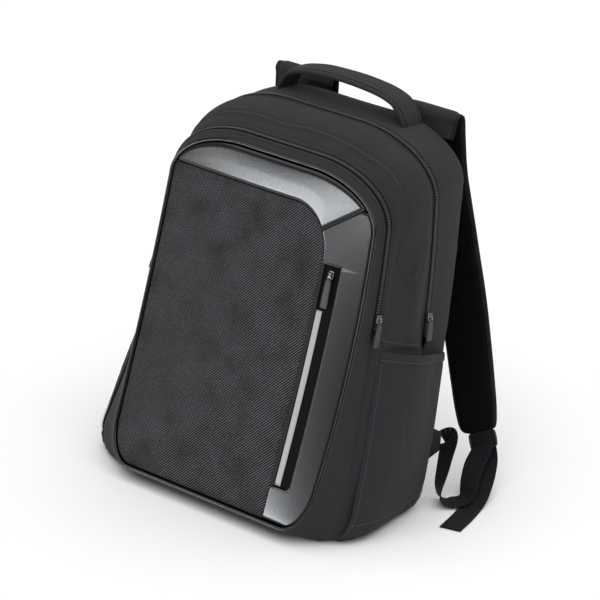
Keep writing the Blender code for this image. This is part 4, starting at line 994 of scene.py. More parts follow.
@dataclass
class FrontPanel:
    """Woven face, smooth trims, piping and the small upright pocket of the front."""

    form: BagForm
    finishes: Finishes
    stitching: Stitching
    crown: float = 7.0 * MM
    piping_radius: float = 2.2 * MM
    gap: float = 0.3 * MM
    thick: float = 1.6 * MM
    seam_height: float = 0.339
    corner: float = 0.048
    mitre_low: float = 0.318
    mitre_high: float = 0.352
    slot_left: float = 0.086
    slot_right: float = 0.112
    slot_low: float = 0.053
    slot_high: float = 0.286
    slot_round: float = 8.0 * MM
    strip_high: float = 0.238
    flap_width: float = 5.2 * MM
    edge_line: Array = field(default_factory=lambda: np.zeros((0, 2)))
    # Length along the leaning panel for each metre of height
    LEAN_LENGTH = 1.05

    def __post_init__(self) -> None:
        """Works out the edge that the piping leaves."""
        x, z = self.form.half(np.array([0.0]), Side.RIGHT, 2 * self.piping_radius + 2 * self.gap)
        self.edge_line = np.column_stack([x[0], z[0]])

    def point(self, x: Array, z: Array, proud: Array | float = 0.0) -> Array:
        """Point on the crowned panel: a plane that leans back, bowed out in the middle."""
        form = self.form
        up = (z - form.lift) / form.height
        crown = self.crown * (1 - (x / form.half_width) ** 2) * np.clip(4 * up * (1 - up), 0, 1) ** 0.7
        slope = form.slope - 2 * form.ease * up
        fall = 1 / np.sqrt(1 + slope ** 2)
        y = form.front_y + form.lean(z) - crown
        return np.stack([x + 0 * z, y - proud * fall, z + proud * fall * slope + 0 * x], axis=-1)

    def edge_x(self, z: Array) -> Array:
        """Half width of what the piping frames, at a height."""
        start, stop = self.form.steps[0], sum(self.form.steps[:4])
        line = self.edge_line[start:stop]
        return np.interp(z, line[:, 1], line[:, 0])

    def edge_z(self, x: Array) -> Array:
        """Height of the framed panel's upper edge."""
        line = self.edge_line[sum(self.form.steps[:3]):][::-1]
        return np.interp(np.abs(x), line[:, 0], line[:, 1])

    def woven_x(self, z: Array) -> Array:
        """Right edge of the woven face: upright, then round a quarter circle to the left."""
        over = np.clip((z - (self.seam_height - self.corner)) / self.corner, 0, 1)
        return self.slot_left - self.corner * (1 - np.sqrt(1 - over ** 2))

    def base(self) -> float:
        """Height of the lowest edge of what the piping frames."""
        return self.form.panel_foot + 2 * self.piping_radius + 2 * self.gap

    def mitre(self, x: Array) -> Array:
        """Height of the slanting seam between the trims."""
        start = float(self.woven_x(np.array(self.mitre_low)))
        stop = float(self.edge_x(np.array(self.mitre_high)))
        return self.mitre_low + (self.mitre_high - self.mitre_low) * (x - start) / (stop - start)

    def plate(self, name: str, x: Array, z: Array, drop: float = 1.2 * MM, reach: float = 3.5 * MM,
              puff: float = 0.0, proud: float = 0.0, tilt: float = 0.0) -> bpy.types.Object:
        """Sheet on the panel whose edges roll down like a quarter circle into its seams.

        Args:
            name: the piece's name.
            x: rows by columns of distances to the right.
            z: rows by columns of heights.
            drop: how far the edges roll down.
            reach: over what distance they do.
            puff: how far the middle swells.
            proud: how far the whole sheet stands out.
            tilt: how much further it stands out for each metre up.

        Returns:
            The new object.
        """
        across = np.minimum(np.abs(x - x[:, :1]), np.abs(x[:, -1:] - x))
        upright = np.minimum(np.abs(z - z[:1]), np.abs(z[-1:] - z))
        near = np.clip(np.minimum(across, upright) / reach, 0, 1)
        roll = np.sqrt(np.clip(1 - (1 - near) ** 2, 0, 1)) - 1
        swell = puff * (1 - np.exp(-across / 0.018)) * (1 - np.exp(-upright / 0.018))
        swell = swell + tilt * np.maximum(z - self.mitre_low, 0)
        grid = self.point(x, z, proud + drop * roll + swell)
        made = Mesher.grid(name, grid, uv=np.stack([x, z * self.LEAN_LENGTH], axis=-1),
                           facing=np.array([0, -1.0, 0.3]))
        return solidify(made, self.thick)

    def spread(self, left: Array, right: Array, cols: int) -> Array:
        """Distances to the right between two edges, closer together near them."""
        turn = np.linspace(0, math.pi, cols)
        share = 0.5 - 0.5 * np.cos(turn) * (1 + 0.25 * np.sin(turn) ** 2)
        share = (share - share[0]) / (share[-1] - share[0])
        return left[:, None] * (1 - share)[None] + right[:, None] * share[None]

    def woven(self) -> None:
        """Ribbed woven face, lightly padded."""
        low = self.base()
        corner_top = self.form.panel_foot + self.form.low_tall
        turn = np.linspace(0, math.pi / 2, 18)
        z = np.concatenate([
            low + (corner_top - low) * (1 - np.cos(turn))[:-1],
            np.linspace(corner_top, self.seam_height - self.corner, 90)[:-1],
            self.seam_height - self.corner + (self.corner - self.gap) * np.sin(turn),
        ])
        x = self.spread(-self.edge_x(z), self.woven_x(z) - self.gap / 2, 120)
        grid_z = np.repeat(z[:, None], 120, axis=1)
        piece = self.plate("ribbed_face", x, grid_z, drop=1.5 * MM, reach=4.0 * MM, puff=1.2 * MM)
        dress(piece, self.finishes.ribbed, "woven_fabric", "woven_panel")

    def trims(self) -> None:
        """Smooth trims across the top and down the right."""
        start = float(self.woven_x(np.array(self.mitre_low)))
        stop = float(self.edge_x(np.array(self.mitre_high)))
        left = -float(self.edge_x(np.array(self.seam_height + 2.5 * MM)))
        x = np.concatenate([np.linspace(left, start, 110)[:-1], np.linspace(start, stop - MM, 40)])
        over = np.clip((x - (self.slot_left - self.corner)) / self.corner, 0, 1)
        low = self.seam_height - self.corner + self.corner * np.sqrt(1 - over ** 2) + self.gap
        low = np.where(x >= start, self.mitre(x) + self.gap, low)
        share = 0.5 - 0.5 * np.cos(np.linspace(0, math.pi, 34))[:, None]
        z = low[None] * (1 - share) + self.edge_z(x)[None] * share
        piece = self.plate("smooth_trim_top", np.repeat(x[None], 34, axis=0), z, drop=2.6 * MM,
                           reach=4.5 * MM, puff=0.4 * MM, tilt=0.066)
        dress(piece, self.finishes.leather, "smooth_trim", "trim_top")
        turn = np.linspace(0, math.pi / 2, 14)
        bend = self.slot_low + 0.1 * MM + self.slot_round * (1 - np.cos(turn))
        z = np.concatenate([
            np.linspace(self.base(), self.slot_low, 18), bend,
            np.linspace(bend[-1], self.slot_high - 0.1 * MM, 90)[1:],
            np.linspace(self.slot_high, self.mitre_low, 18),
            np.linspace(self.mitre_low, self.mitre_high - 2.5 * MM, 18)[1:],
        ])
        edge = self.woven_x(np.minimum(z, self.mitre_low)) + self.gap / 2
        depth = 1 - np.clip((z - self.slot_low) / self.slot_round, 0, 1)
        inside = (z > self.slot_low) & (z < self.slot_high)
        edge = np.where(inside, self.slot_right - self.slot_round * (1 - np.sqrt(1 - depth ** 2)), edge)
        climb = (z - self.mitre_low) / (self.mitre_high - self.mitre_low)
        edge = np.where(z > self.mitre_low, start + (stop - start) * climb, edge)
        x = self.spread(edge, self.edge_x(z), 28)
        piece = self.plate("smooth_trim_side", x, np.repeat(z[:, None], 28, axis=1), reach=2.2 * MM)
        dress(piece, self.finishes.leather, "smooth_trim", "trim_side")

    def small_pocket(self) -> None:
        """Flap, zip tape and reflective strip in the slot."""
        left = self.slot_left + self.gap
        right = left + self.flap_width
        rows = (
            ("slot_flap", left, right, self.slot_low, self.slot_high, 0.6 * MM, self.finishes.cloth,
             "fabric", "pocket_flap"),
            ("slot_tape", right + self.gap, self.slot_right - self.gap, self.slot_low, self.slot_high,
             -1.0 * MM, self.finishes.tape, "zip_tape", "zip_pocket"),
            ("slot_reflector", right + 0.6 * MM, right + 8.2 * MM, self.slot_low + 2 * MM,
             self.strip_high, -0.1 * MM, self.finishes.reflective,
             "reflective_tape", "reflective_strip"),
        )
        for name, start, stop, low, high, proud, finish, slot, node in rows:
            z = np.linspace(low + self.gap, high - self.gap, 80)
            x = self.spread(np.full(80, start), np.full(80, stop), 14)
            piece = self.plate(name, x, np.repeat(z[:, None], 14, axis=1), drop=0.6 * MM,
                               reach=1.2 * MM, proud=proud)
            piece.modifiers["wall"].thickness = 0.6 * MM
            dress(piece, finish, slot, node)

    def piping(self) -> None:
        """Round cord piping: a circle carried along the panel's outline."""
        path = self.form.ring(0.0)[0]
        x, z = path[:, 0], path[:, 2]
        out_x, out_z = self.form.outward(x[None], z[None])
        out = np.column_stack([out_x[0], 0 * x, out_z[0]])
        radius = self.piping_radius
        back = np.array([0.0, 1.0, 0.0])
        piece = Mesher.loop("corded_piping", tube(path - out * radius, out, back, radius, radius))
        dress(piece, self.finishes.leather, "smooth_trim", "panel_piping")

    def normal(self, z: Array) -> Array:
        """Way out of the panel at a height."""
        slope = self.form.slope - 2 * self.form.ease * (z - self.form.lift) / self.form.height
        return unit(np.stack([0 * slope, -1 + 0 * slope, slope], axis=-1))

    def turned_edge(self, name: str, centre: Array, out: Array, half_wide: float,
                    half_thick: float) -> None:
        """Folded edge of the trim: a small rounded bead along points."""
        across = np.cross(out, unit(np.gradient(centre, axis=0)))
        bead = tube(centre, across, out, half_wide, half_thick, sides=12)
        dress(Mesher.grid(name, bead, wrap=True, caps=True), self.finishes.leather, "smooth_trim")

    def seams(self) -> None:
        """Turned edge of the mitre, and the stitches beside it and round the slot."""
        start = float(self.woven_x(np.array(self.mitre_low)))
        stop = float(self.edge_x(np.array(self.mitre_high)))
        x = np.linspace(start, stop - 1.5 * MM, 60)
        z = self.mitre(x)
        centre = self.point(x, z + 0.5 * MM, 0.6 * MM)
        out = self.normal(z)
        self.turned_edge("mitre_edge", centre, out, 0.9 * MM, 0.7 * MM)
        self.stitching.add(self.point(x, z - 2.6 * MM, 0.1 * MM), out)
        x = np.linspace(self.slot_left, self.slot_right + 0.8 * MM, 16)
        z = np.full(16, self.slot_high + 0.6 * MM)
        centre, out = self.point(x, z, 0.2 * MM), self.normal(z)
        self.turned_edge("slot_lip", centre, out, 1.0 * MM, 0.8 * MM)
        edge = self.slot_right + 2.2 * MM
        z = np.linspace(self.slot_low + 4 * MM, self.slot_high + 2.0 * MM, 80)
        self.stitching.add(self.point(np.full(80, edge), z, 0.1 * MM), self.normal(z))
        x = np.linspace(self.slot_left + 2 * MM, edge - 2 * MM, 20)
        for level in (self.slot_high + 2.2 * MM, self.slot_low - 2.4 * MM):
            z = np.full(20, level)
            self.stitching.add(self.point(x, z, 0.1 * MM), self.normal(z))

    def build(self) -> None:
        """Makes every piece of the front."""
        self.woven()
        self.trims()
        self.small_pocket()
        self.piping()
        self.seams()


@dataclass
class ZipBand:
    """A closed coil zip over its slit: tape, and two rows of coil turns."""

    form: BagForm
    finishes: Finishes
    station: Station
    node: str
    tape_half: float = 4.8 * MM
    pitch: float = 2.9 * MM
    coil_reach: float = 1.60 * MM
    coil_thick: float = 0.75 * MM
    coil_aside: float = 1.20 * MM
    coil_out: float = 1.5 * MM
    coil_lean: float = 0.45

    def path(self) -> tuple[Array, Array]:
        """Points and outward directions from the right end over the top to the left end."""
        ring = self.form.ring(float(self.station.value))[0]
        out_x, out_z = self.form.outward(ring[None, :, 0], ring[None, :, 2])
        out = np.column_stack([out_x[0], np.zeros(len(ring)), out_z[0]])
        keep = ring[:, 2] > ZIP_ENDS[self.station]
        points, out = resample(ring[keep], int(arc_length(ring[keep])[-1] / self.pitch), out[keep])
        return points, unit(out)

    def build(self) -> None:
        """Makes the tape and the coil."""
        points, out = self.path()
        back = np.tile([0.0, 1.0, 0.0], (len(points), 1))
        tape = tube(points + out * 0.6 * MM, back, out, self.tape_half, 0.3 * MM, power=8, sides=12)
        uv = places_grid(np.linspace(0, 4 * self.tape_half, 13), arc_length(points))
        piece = Mesher.grid(f"{self.node}_tape", tape, wrap=True, caps=True, uv=uv)
        dress(piece, self.finishes.tape, "zip_tape", self.node)
        turn, rise = np.linspace(0, 2 * math.pi, 8, endpoint=False), np.linspace(-1, 1, 5)
        ring_size = np.sqrt(np.clip(1 - np.abs(rise) ** 2.6, 0.06, 1))
        shape = np.stack([
            np.cos(turn)[None] * ring_size[:, None] * 0.34 * self.pitch,
            rise[:, None] * self.coil_reach + 0 * turn[None],
            np.sin(turn)[None] * ring_size[:, None] * self.coil_thick,
        ], axis=-1)
        verts, quads = shape.reshape(-1, 3), Mesher.grid_faces(5, 8, True)
        caps = np.array([[0, 1, 2, 3], [0, 3, 4, 7], [7, 4, 5, 6]])
        quads = np.concatenate([quads, caps[:, ::-1], caps + 32])
        tangent = unit(np.gradient(points, axis=0))
        places, axes = [], []
        for sign in (1, -1):
            shift = 0.0 if sign > 0 else 0.5
            lean = self.coil_lean * sign
            middle = points + tangent * self.pitch * shift + out * self.coil_out
            places.append(middle + back * sign * self.coil_aside)
            across = unit(back + tangent * lean)
            axes.append(np.stack([unit(tangent - back * lean), across, out], axis=1))
        piece = Mesher.copies(f"{self.node}_coil", (verts, quads), np.concatenate(places),
                              np.concatenate(axes))
        dress(piece, self.finishes.coil, "zip_tape")


@dataclass
class ZipHardware:
    """Sliders and pulls, on the seats that the model gives them."""

    form: BagForm
    panel: FrontPanel
    finishes: Finishes
    length: float = 11.0 * MM
    width: float = 8.0 * MM
    block: float = 2.8 * MM
    crown: float = 3.0 * MM
    bar: float = 1.0 * MM
    pull_width: float = 9.2 * MM
    rod: float = 1.0 * MM
    # Millimetres from the smooth outline to the model's own hinge
    SEAT_SHIFT = {"main_right": (0.24, -0.05, 0.16), "main_left": (-0.41, -0.02, 0.26)}

    def panel_seat(self, x: float, z: float) -> tuple[Array, Array, Array, Array]:
        """Frame on the front panel: point, out, along (down) and across."""
        at, low, high = (self.panel.point(np.array(x), np.array(h)) for h in (z, z - 0.004, z + 0.004))
        along = unit(low - high)
        out = unit(np.cross(along, np.array([1.0, 0, 0])))
        out = -out if out[1] > 0 else out
        return at, out, along, np.cross(out, along)

    def slider(self, tag: str, seat: tuple[Array, Array, Array, Array], off: float) -> None:
        """Slider: a body that widens towards its nose, and an arched bridge over it."""
        at, out, along, across = seat
        steps = np.linspace(-1, 1, 17)
        width = self.width / 2 * (0.80 + 0.20 * ramp(-steps, -0.6, 0.6)) * np.sqrt(
            np.clip(1 - np.abs(steps) ** 7, 0.10, 1))
        height = self.block / 2 * np.clip(1 - np.abs(steps) ** 6, 0.30, 1)
        base = at + out * (off + self.block / 2)
        centre = base + along * (steps * self.length / 2)[:, None]
        grid = tube(centre, across, out, width, height, power=4, sides=20)
        piece = Mesher.grid(f"{tag}_slider_body", grid, wrap=True, caps=True)
        dress(piece, self.finishes.gunmetal, "slider_metal", f"slider_{tag}")
        turn = np.linspace(0, math.pi, 17)
        reach, rise = superellipse(turn, 3.2)
        foot = at + out * (off + self.block - 0.4 * MM)
        arch = self.crown - self.bar / 2 + 0.4 * MM
        path = foot + along * (reach * 3.1 * MM)[:, None] + out * (rise * arch)[:, None]
        tangent = unit(np.gradient(path, axis=0))
        wide = np.tile(across, (17, 1))
        grid = tube(path, wide, np.cross(tangent, wide), 1.0 * MM, self.bar / 2, power=3, sides=12)
        piece = Mesher.grid(f"{tag}_slider_bridge", grid, wrap=True, caps=True)
        dress(piece, self.finishes.gunmetal, "slider_metal")

    def pull(self, tag: str, seat: tuple[Array, Array, Array, Array], off: float, length: float,
             hang: float) -> None:
        """Pull: a rounded plate hung by an eye, whose rod lies under the slider's bridge."""
        at, out, along, across = seat
        pivot = at + out * (off + (self.block + self.block + self.crown - self.bar) / 2)
        angle = math.radians(hang)
        down = along * math.cos(angle) + out * math.sin(angle)
        proud = out * math.cos(angle) - along * math.sin(angle)
        body = f"{tag}_pull"
        start = 4.2 * MM
        steps = np.linspace(0, 1, 33)
        place = start + (length - start) * steps
        edge = np.minimum(steps * 10, (1 - steps) * 30)
        ends = np.sqrt(np.clip(1 - (1 - edge).clip(0, 1) ** 2, 0.30, 1))
        width = self.pull_width / 2 * ends * (0.84 + 0.16 * ramp(steps, 0.0, 0.8))
        thick = 0.8 * MM * (0.55 + 0.45 * ends)
        centre = pivot + down * place[:, None]
        grid = tube(centre, across, proud, width, thick, power=5, sides=24)
        piece = Mesher.grid(f"{tag}_pull_plate", grid, wrap=True, caps=True, body=body)
        dress(piece, self.finishes.pull, "pull_metal", f"pull_{tag}")
        turn = np.linspace(0, 2 * math.pi, 40, endpoint=False)
        wide, tall = superellipse(turn, 3.0)
        loop = (pivot + across * (wide * 2.15 * MM)[:, None]
                + down * (2.5 * MM + tall * 2.5 * MM)[:, None])
        radial = unit(across * (wide * 2.15)[:, None] + down * (tall * 2.5)[:, None])
        ring = tube(loop, radial, proud, self.rod / 2, self.rod / 2, sides=10)
        piece = Mesher.loop(f"{tag}_pull_eye", ring, body=body)
        dress(piece, self.finishes.gunmetal, "pull_metal")

    def build(self) -> None:
        """Makes the five sliders and pulls."""
        over_coil = 2.9 * MM
        front, main = Station.ZIP_FRONT, Station.ZIP_MAIN
        rows = (
            ("front_right", self.form.seat(front, 0.238, Side.RIGHT), over_coil, 31 * MM, 0.0),
            ("front_left", self.form.seat(front, 0.238, Side.LEFT), over_coil, 31 * MM, 10.0),
            ("main_right", self.form.seat(main, 0.218, Side.RIGHT), over_coil, 26 * MM, 0.0),
            ("main_left", self.form.seat(main, 0.218, Side.LEFT), over_coil, 26 * MM, 0.0),
            ("pocket", self.panel_seat(0.1029, 0.276), -0.2 * MM, 36 * MM, 0.0),
        )
        for tag, (at, *axes), off, length, hang in rows:
            seat = (at + np.array(self.SEAT_SHIFT.get(tag, (0, 0, 0))) * MM, *axes)
            self.slider(tag, seat, off)
            self.pull(tag, seat, off, length, hang)


@dataclass
class SidePocket:
    """Cloth pocket on a side: sewn at its front, foot and back, open and hemmed on top."""

    form: BagForm
    finishes: Finishes
    side: Side
    tag: str
    stitching: Stitching
    front: float = 2.42
    back: float = 7.6
    top_front: float = 0.2035
    top_back: float = 0.1680
    bulge: float = 13.5 * MM
    mouth: float = 8.0 * MM
    foot: float = 0.009

    def surface(self, across: Array, up: Array) -> Array:
        """Outside of the pocket: the bag's side, pushed out by an arch over its width and height.

        Args:
            across: share from the front seam to the back one, by rows.
            up: share from the foot to the hem.

        Returns:
            Rows by columns of points.
        """
        t = self.front + across * (self.back - self.front)
        fall = (self.top_back - self.top_front) * across
        top = self.top_front + fall + 0.004 * np.sin(math.pi * across)
        z = self.foot + (top - self.foot)[:, None] * up[None]
        arch = np.sin(math.pi * across) ** 0.75
        swell = self.bulge * arch[:, None] * np.sin(math.pi * (0.06 + 0.74 * up[None])) ** 0.8
        swell = swell * np.minimum(1, up * 6)[None] + self.mouth * arch[:, None] * up[None] ** 3
        grid = self.form.side_rows(t, z, self.side)
        grid[..., 0] += self.side.value * (2.9 * MM + swell)
        return grid

    def build(self) -> None:
        """Makes the pocket's wall with its folds."""
        across, up = np.linspace(0, 1, 90), 1 - np.linspace(1, 0, 110) ** 1.15
        grid = self.surface(across, up)
        hem = 0.9 * MM * ramp(up, 0.935, 0.950) - 0.7 * MM * bump(up, 0.935, 0.008)
        foot = 0.6 * MM * bump(up, 0.040, 0.012) - 1.0 * MM * bump(up, 0.060, 0.010)
        grid[..., 0] += self.side.value * (hem - 0.8 * MM * ramp(up, 0.985, 1.0) + foot)[None]
        out = np.array([float(self.side.value), 0, 0])
        for row in (0.955, 0.078):
            line = self.surface(across[3:-3], np.array([row]))[:, 0] + out * 0.9 * MM
            self.stitching.add(line, out)
        line = self.surface(np.array([0.035]), np.linspace(0.04, 0.93, 60))[0] + out * 0.5 * MM
        self.stitching.add(line, out)
        broad = ripple(grid, 0.060, 31 + self.side.value, stretch=(1, 1, 1.8))
        sharp = ripple(grid, 0.040, 57 + self.side.value, stretch=(1, 1.2, 2.4))
        fold = 1.9 * MM * (0.6 * broad - 0.5 * np.clip(1 - np.abs(sharp) * 3.0, 0, 1) ** 2)
        edge = np.sin(math.pi * across)[:, None] ** 0.5 * (1 - ramp(up, 0.85, 1.0))[None]
        grid[..., 0] += self.side.value * fold * edge
        uv = places_grid(arc_length(grid[40]), arc_length(grid[:, 40]))
        piece = Mesher.grid(f"pocket_wall_{self.tag}", grid, uv=uv,
                            facing=np.array([float(self.side.value), 0, 0]))
        solidify(piece, 1.4 * MM)
        dress(piece, self.finishes.cloth, "fabric", f"side_pocket_{self.tag}")


@dataclass
class Handle:
    """Padded carry handle: a flat band arched over the top."""

    form: BagForm
    finishes: Finishes
    stitching: Stitching
    half_span: float = 0.090
    rise: float = 0.0275
    width: float = 0.032
    thick: float = 0.0070
    depth: float = 0.1365

    def top_height(self, x: float) -> float:
        """Height of the bag's top behind the main zip."""
        out, z = self.form.half(np.array([float(Station.HIP.value)]), Side.RIGHT)
        start = sum(self.form.steps[:3])
        return float(np.interp(abs(x), out[0, start:][::-1], z[0, start:][::-1]))

    def path(self, count: int) -> Array:
        """Arch from one foot to the other: a rounded power curve in x and z."""
        lift = self.top_height(0.0) + self.rise
        seat = self.top_height(self.half_span - self.thick / 2) + self.thick * 0.25 + 0.3 * MM
        turn = np.linspace(0, math.pi, count)
        x = -self.half_span * np.sign(np.cos(turn)) * np.abs(np.cos(turn)) ** 0.80
        z = seat + (lift - seat) * np.sin(turn) ** 0.85
        z = z - 0.007 * np.clip(np.abs(x) / self.half_span * 6 - 5, 0, 1)
        fine = np.column_stack([x, np.full(count, self.depth), z])
        return resample(fine, count)[0]

    def build(self) -> None:
        """Makes the band with its two edge channels."""
        path = self.path(140)
        tangent = unit(np.gradient(path, axis=0))
        wide = np.tile([0.0, 1.0, 0.0], (len(path), 1))
        out = np.cross(wide, tangent)
        out *= np.sign(out[len(path) // 2, 2])
        turn = np.linspace(0, 2 * math.pi, 120, endpoint=False)
        across, up = superellipse(turn, 3.0)
        groove = (0.50 * (bump(across, 0.66, 0.05) + bump(across, -0.66, 0.05))
                  + 0.35 * bump(across, 0.0, 0.05))
        height = up * (1 - groove) * (1 + 0.12 * (1 - across ** 2))
        grid = (path[:, None] + wide[:, None] * (across * self.width / 2)[None, :, None]
                + out[:, None] * (height * self.thick / 2)[None, :, None])
        grid = grid + out[:, None] * (0.3 * MM * ripple(grid, 0.045, 5))[..., None]
        for place in (0.60, -0.60, 0.0):
            line = path + wide * place * self.width / 2 + out * self.thick * 0.47
            self.stitching.add(line[8:-8], out[8:-8])
        uv = places_grid(np.linspace(0, 2 * self.width, 121), arc_length(path))
        piece = Mesher.grid("carry_handle", grid, wrap=True, caps=True, uv=uv)
        dress(piece, self.finishes.cloth, "fabric", "handle")


# Centre line of a shoulder strap: out, back, height, width, thickness and turn, as shares
STRAP_ROWS = np.array([
    (0.603, 0.786, 1.080, 1.08, 0.32, 0), (0.600, 0.787, 1.120, 1.15, 0.33, 0),
    (0.598, 0.784, 1.136, 1.18, 0.36, 0), (0.600, 0.796, 1.150, 1.18, 0.42, 0),
    (0.602, 0.825, 1.152, 1.18, 0.55, 0), (0.605, 0.852, 1.134, 1.18, 0.77, 0),
    (0.617, 0.882, 1.072, 1.15, 0.95, 0), (0.645, 0.949, 0.961, 1.08, 1.00, 0),
    (0.700, 1.053, 0.822, 1.00, 1.00, 1), (0.767, 1.156, 0.682, 0.93, 1.00, 2),
    (0.840, 1.249, 0.543, 0.89, 1.00, 4), (0.927, 1.311, 0.418, 0.83, 1.00, 6),
    (1.030, 1.347, 0.306, 0.76, 0.95, 9), (1.127, 1.358, 0.223, 0.69, 0.82, 12),
    (1.180, 1.370, 0.178, 0.58, 0.64, 14),
])
BUCKLE_ROWS = np.array([(1.258, 1.395, 0.127), (1.205, 1.383, 0.167)])
TAB_ROWS = np.array([
    (1.000, 0.967, 0.228), (0.993, 0.999, 0.089), (1.063, 1.140, 0.134), (1.063, 1.104, 0.192),
])
# Route of the webbing: out, back, height of its lower side, turn and tip of its width
TO_BUCKLE = np.array([
    (1.081, 1.146, 0.1584, 60, 2.0), (1.107, 1.151, 0.1695, 40, 1.2), (1.132, 1.137, 0.1570, 0, 0.4),
    (1.143, 1.128, 0.1221, -20, 0.0), (1.163, 1.113, 0.0887, -26, 0.0), (1.183, 1.097, 0.0567, -32, 0.0),
    (1.210, 1.094, 0.0302, -37, 0.0), (1.247, 1.105, 0.0135, -38, 0.0), (1.293, 1.133, 0.0079, -38, 0.0),
    (1.340, 1.176, 0.0091, -38, 0.0), (1.357, 1.207, 0.0157, -34, 0.0), (1.353, 1.228, 0.0274, -25, 0.0),
    (1.333, 1.246, 0.0414, -14, 0.0), (1.307, 1.271, 0.0609, -4, 0.0), (1.277, 1.311, 0.0887, 4, 0.0),
    (1.270, 1.348, 0.1166, 15, 0.2),
])
FREE_END = np.array([
    (1.300, 1.411, 0.0873, 12, 0.0), (1.353, 1.362, 0.0595, 10, 0.0), (1.390, 1.314, 0.0316, 8, 0.0),
    (1.420, 1.259, 0.0107, 6, 0.0), (1.443, 1.192, 0.0018, 5, 0.0), (1.473, 1.112, 0.0001, 4, 0.0),
    (1.507, 1.013, 0.0001, 3, 0.0), (1.547, 0.874, 0.0001, 2, 0.0),
])


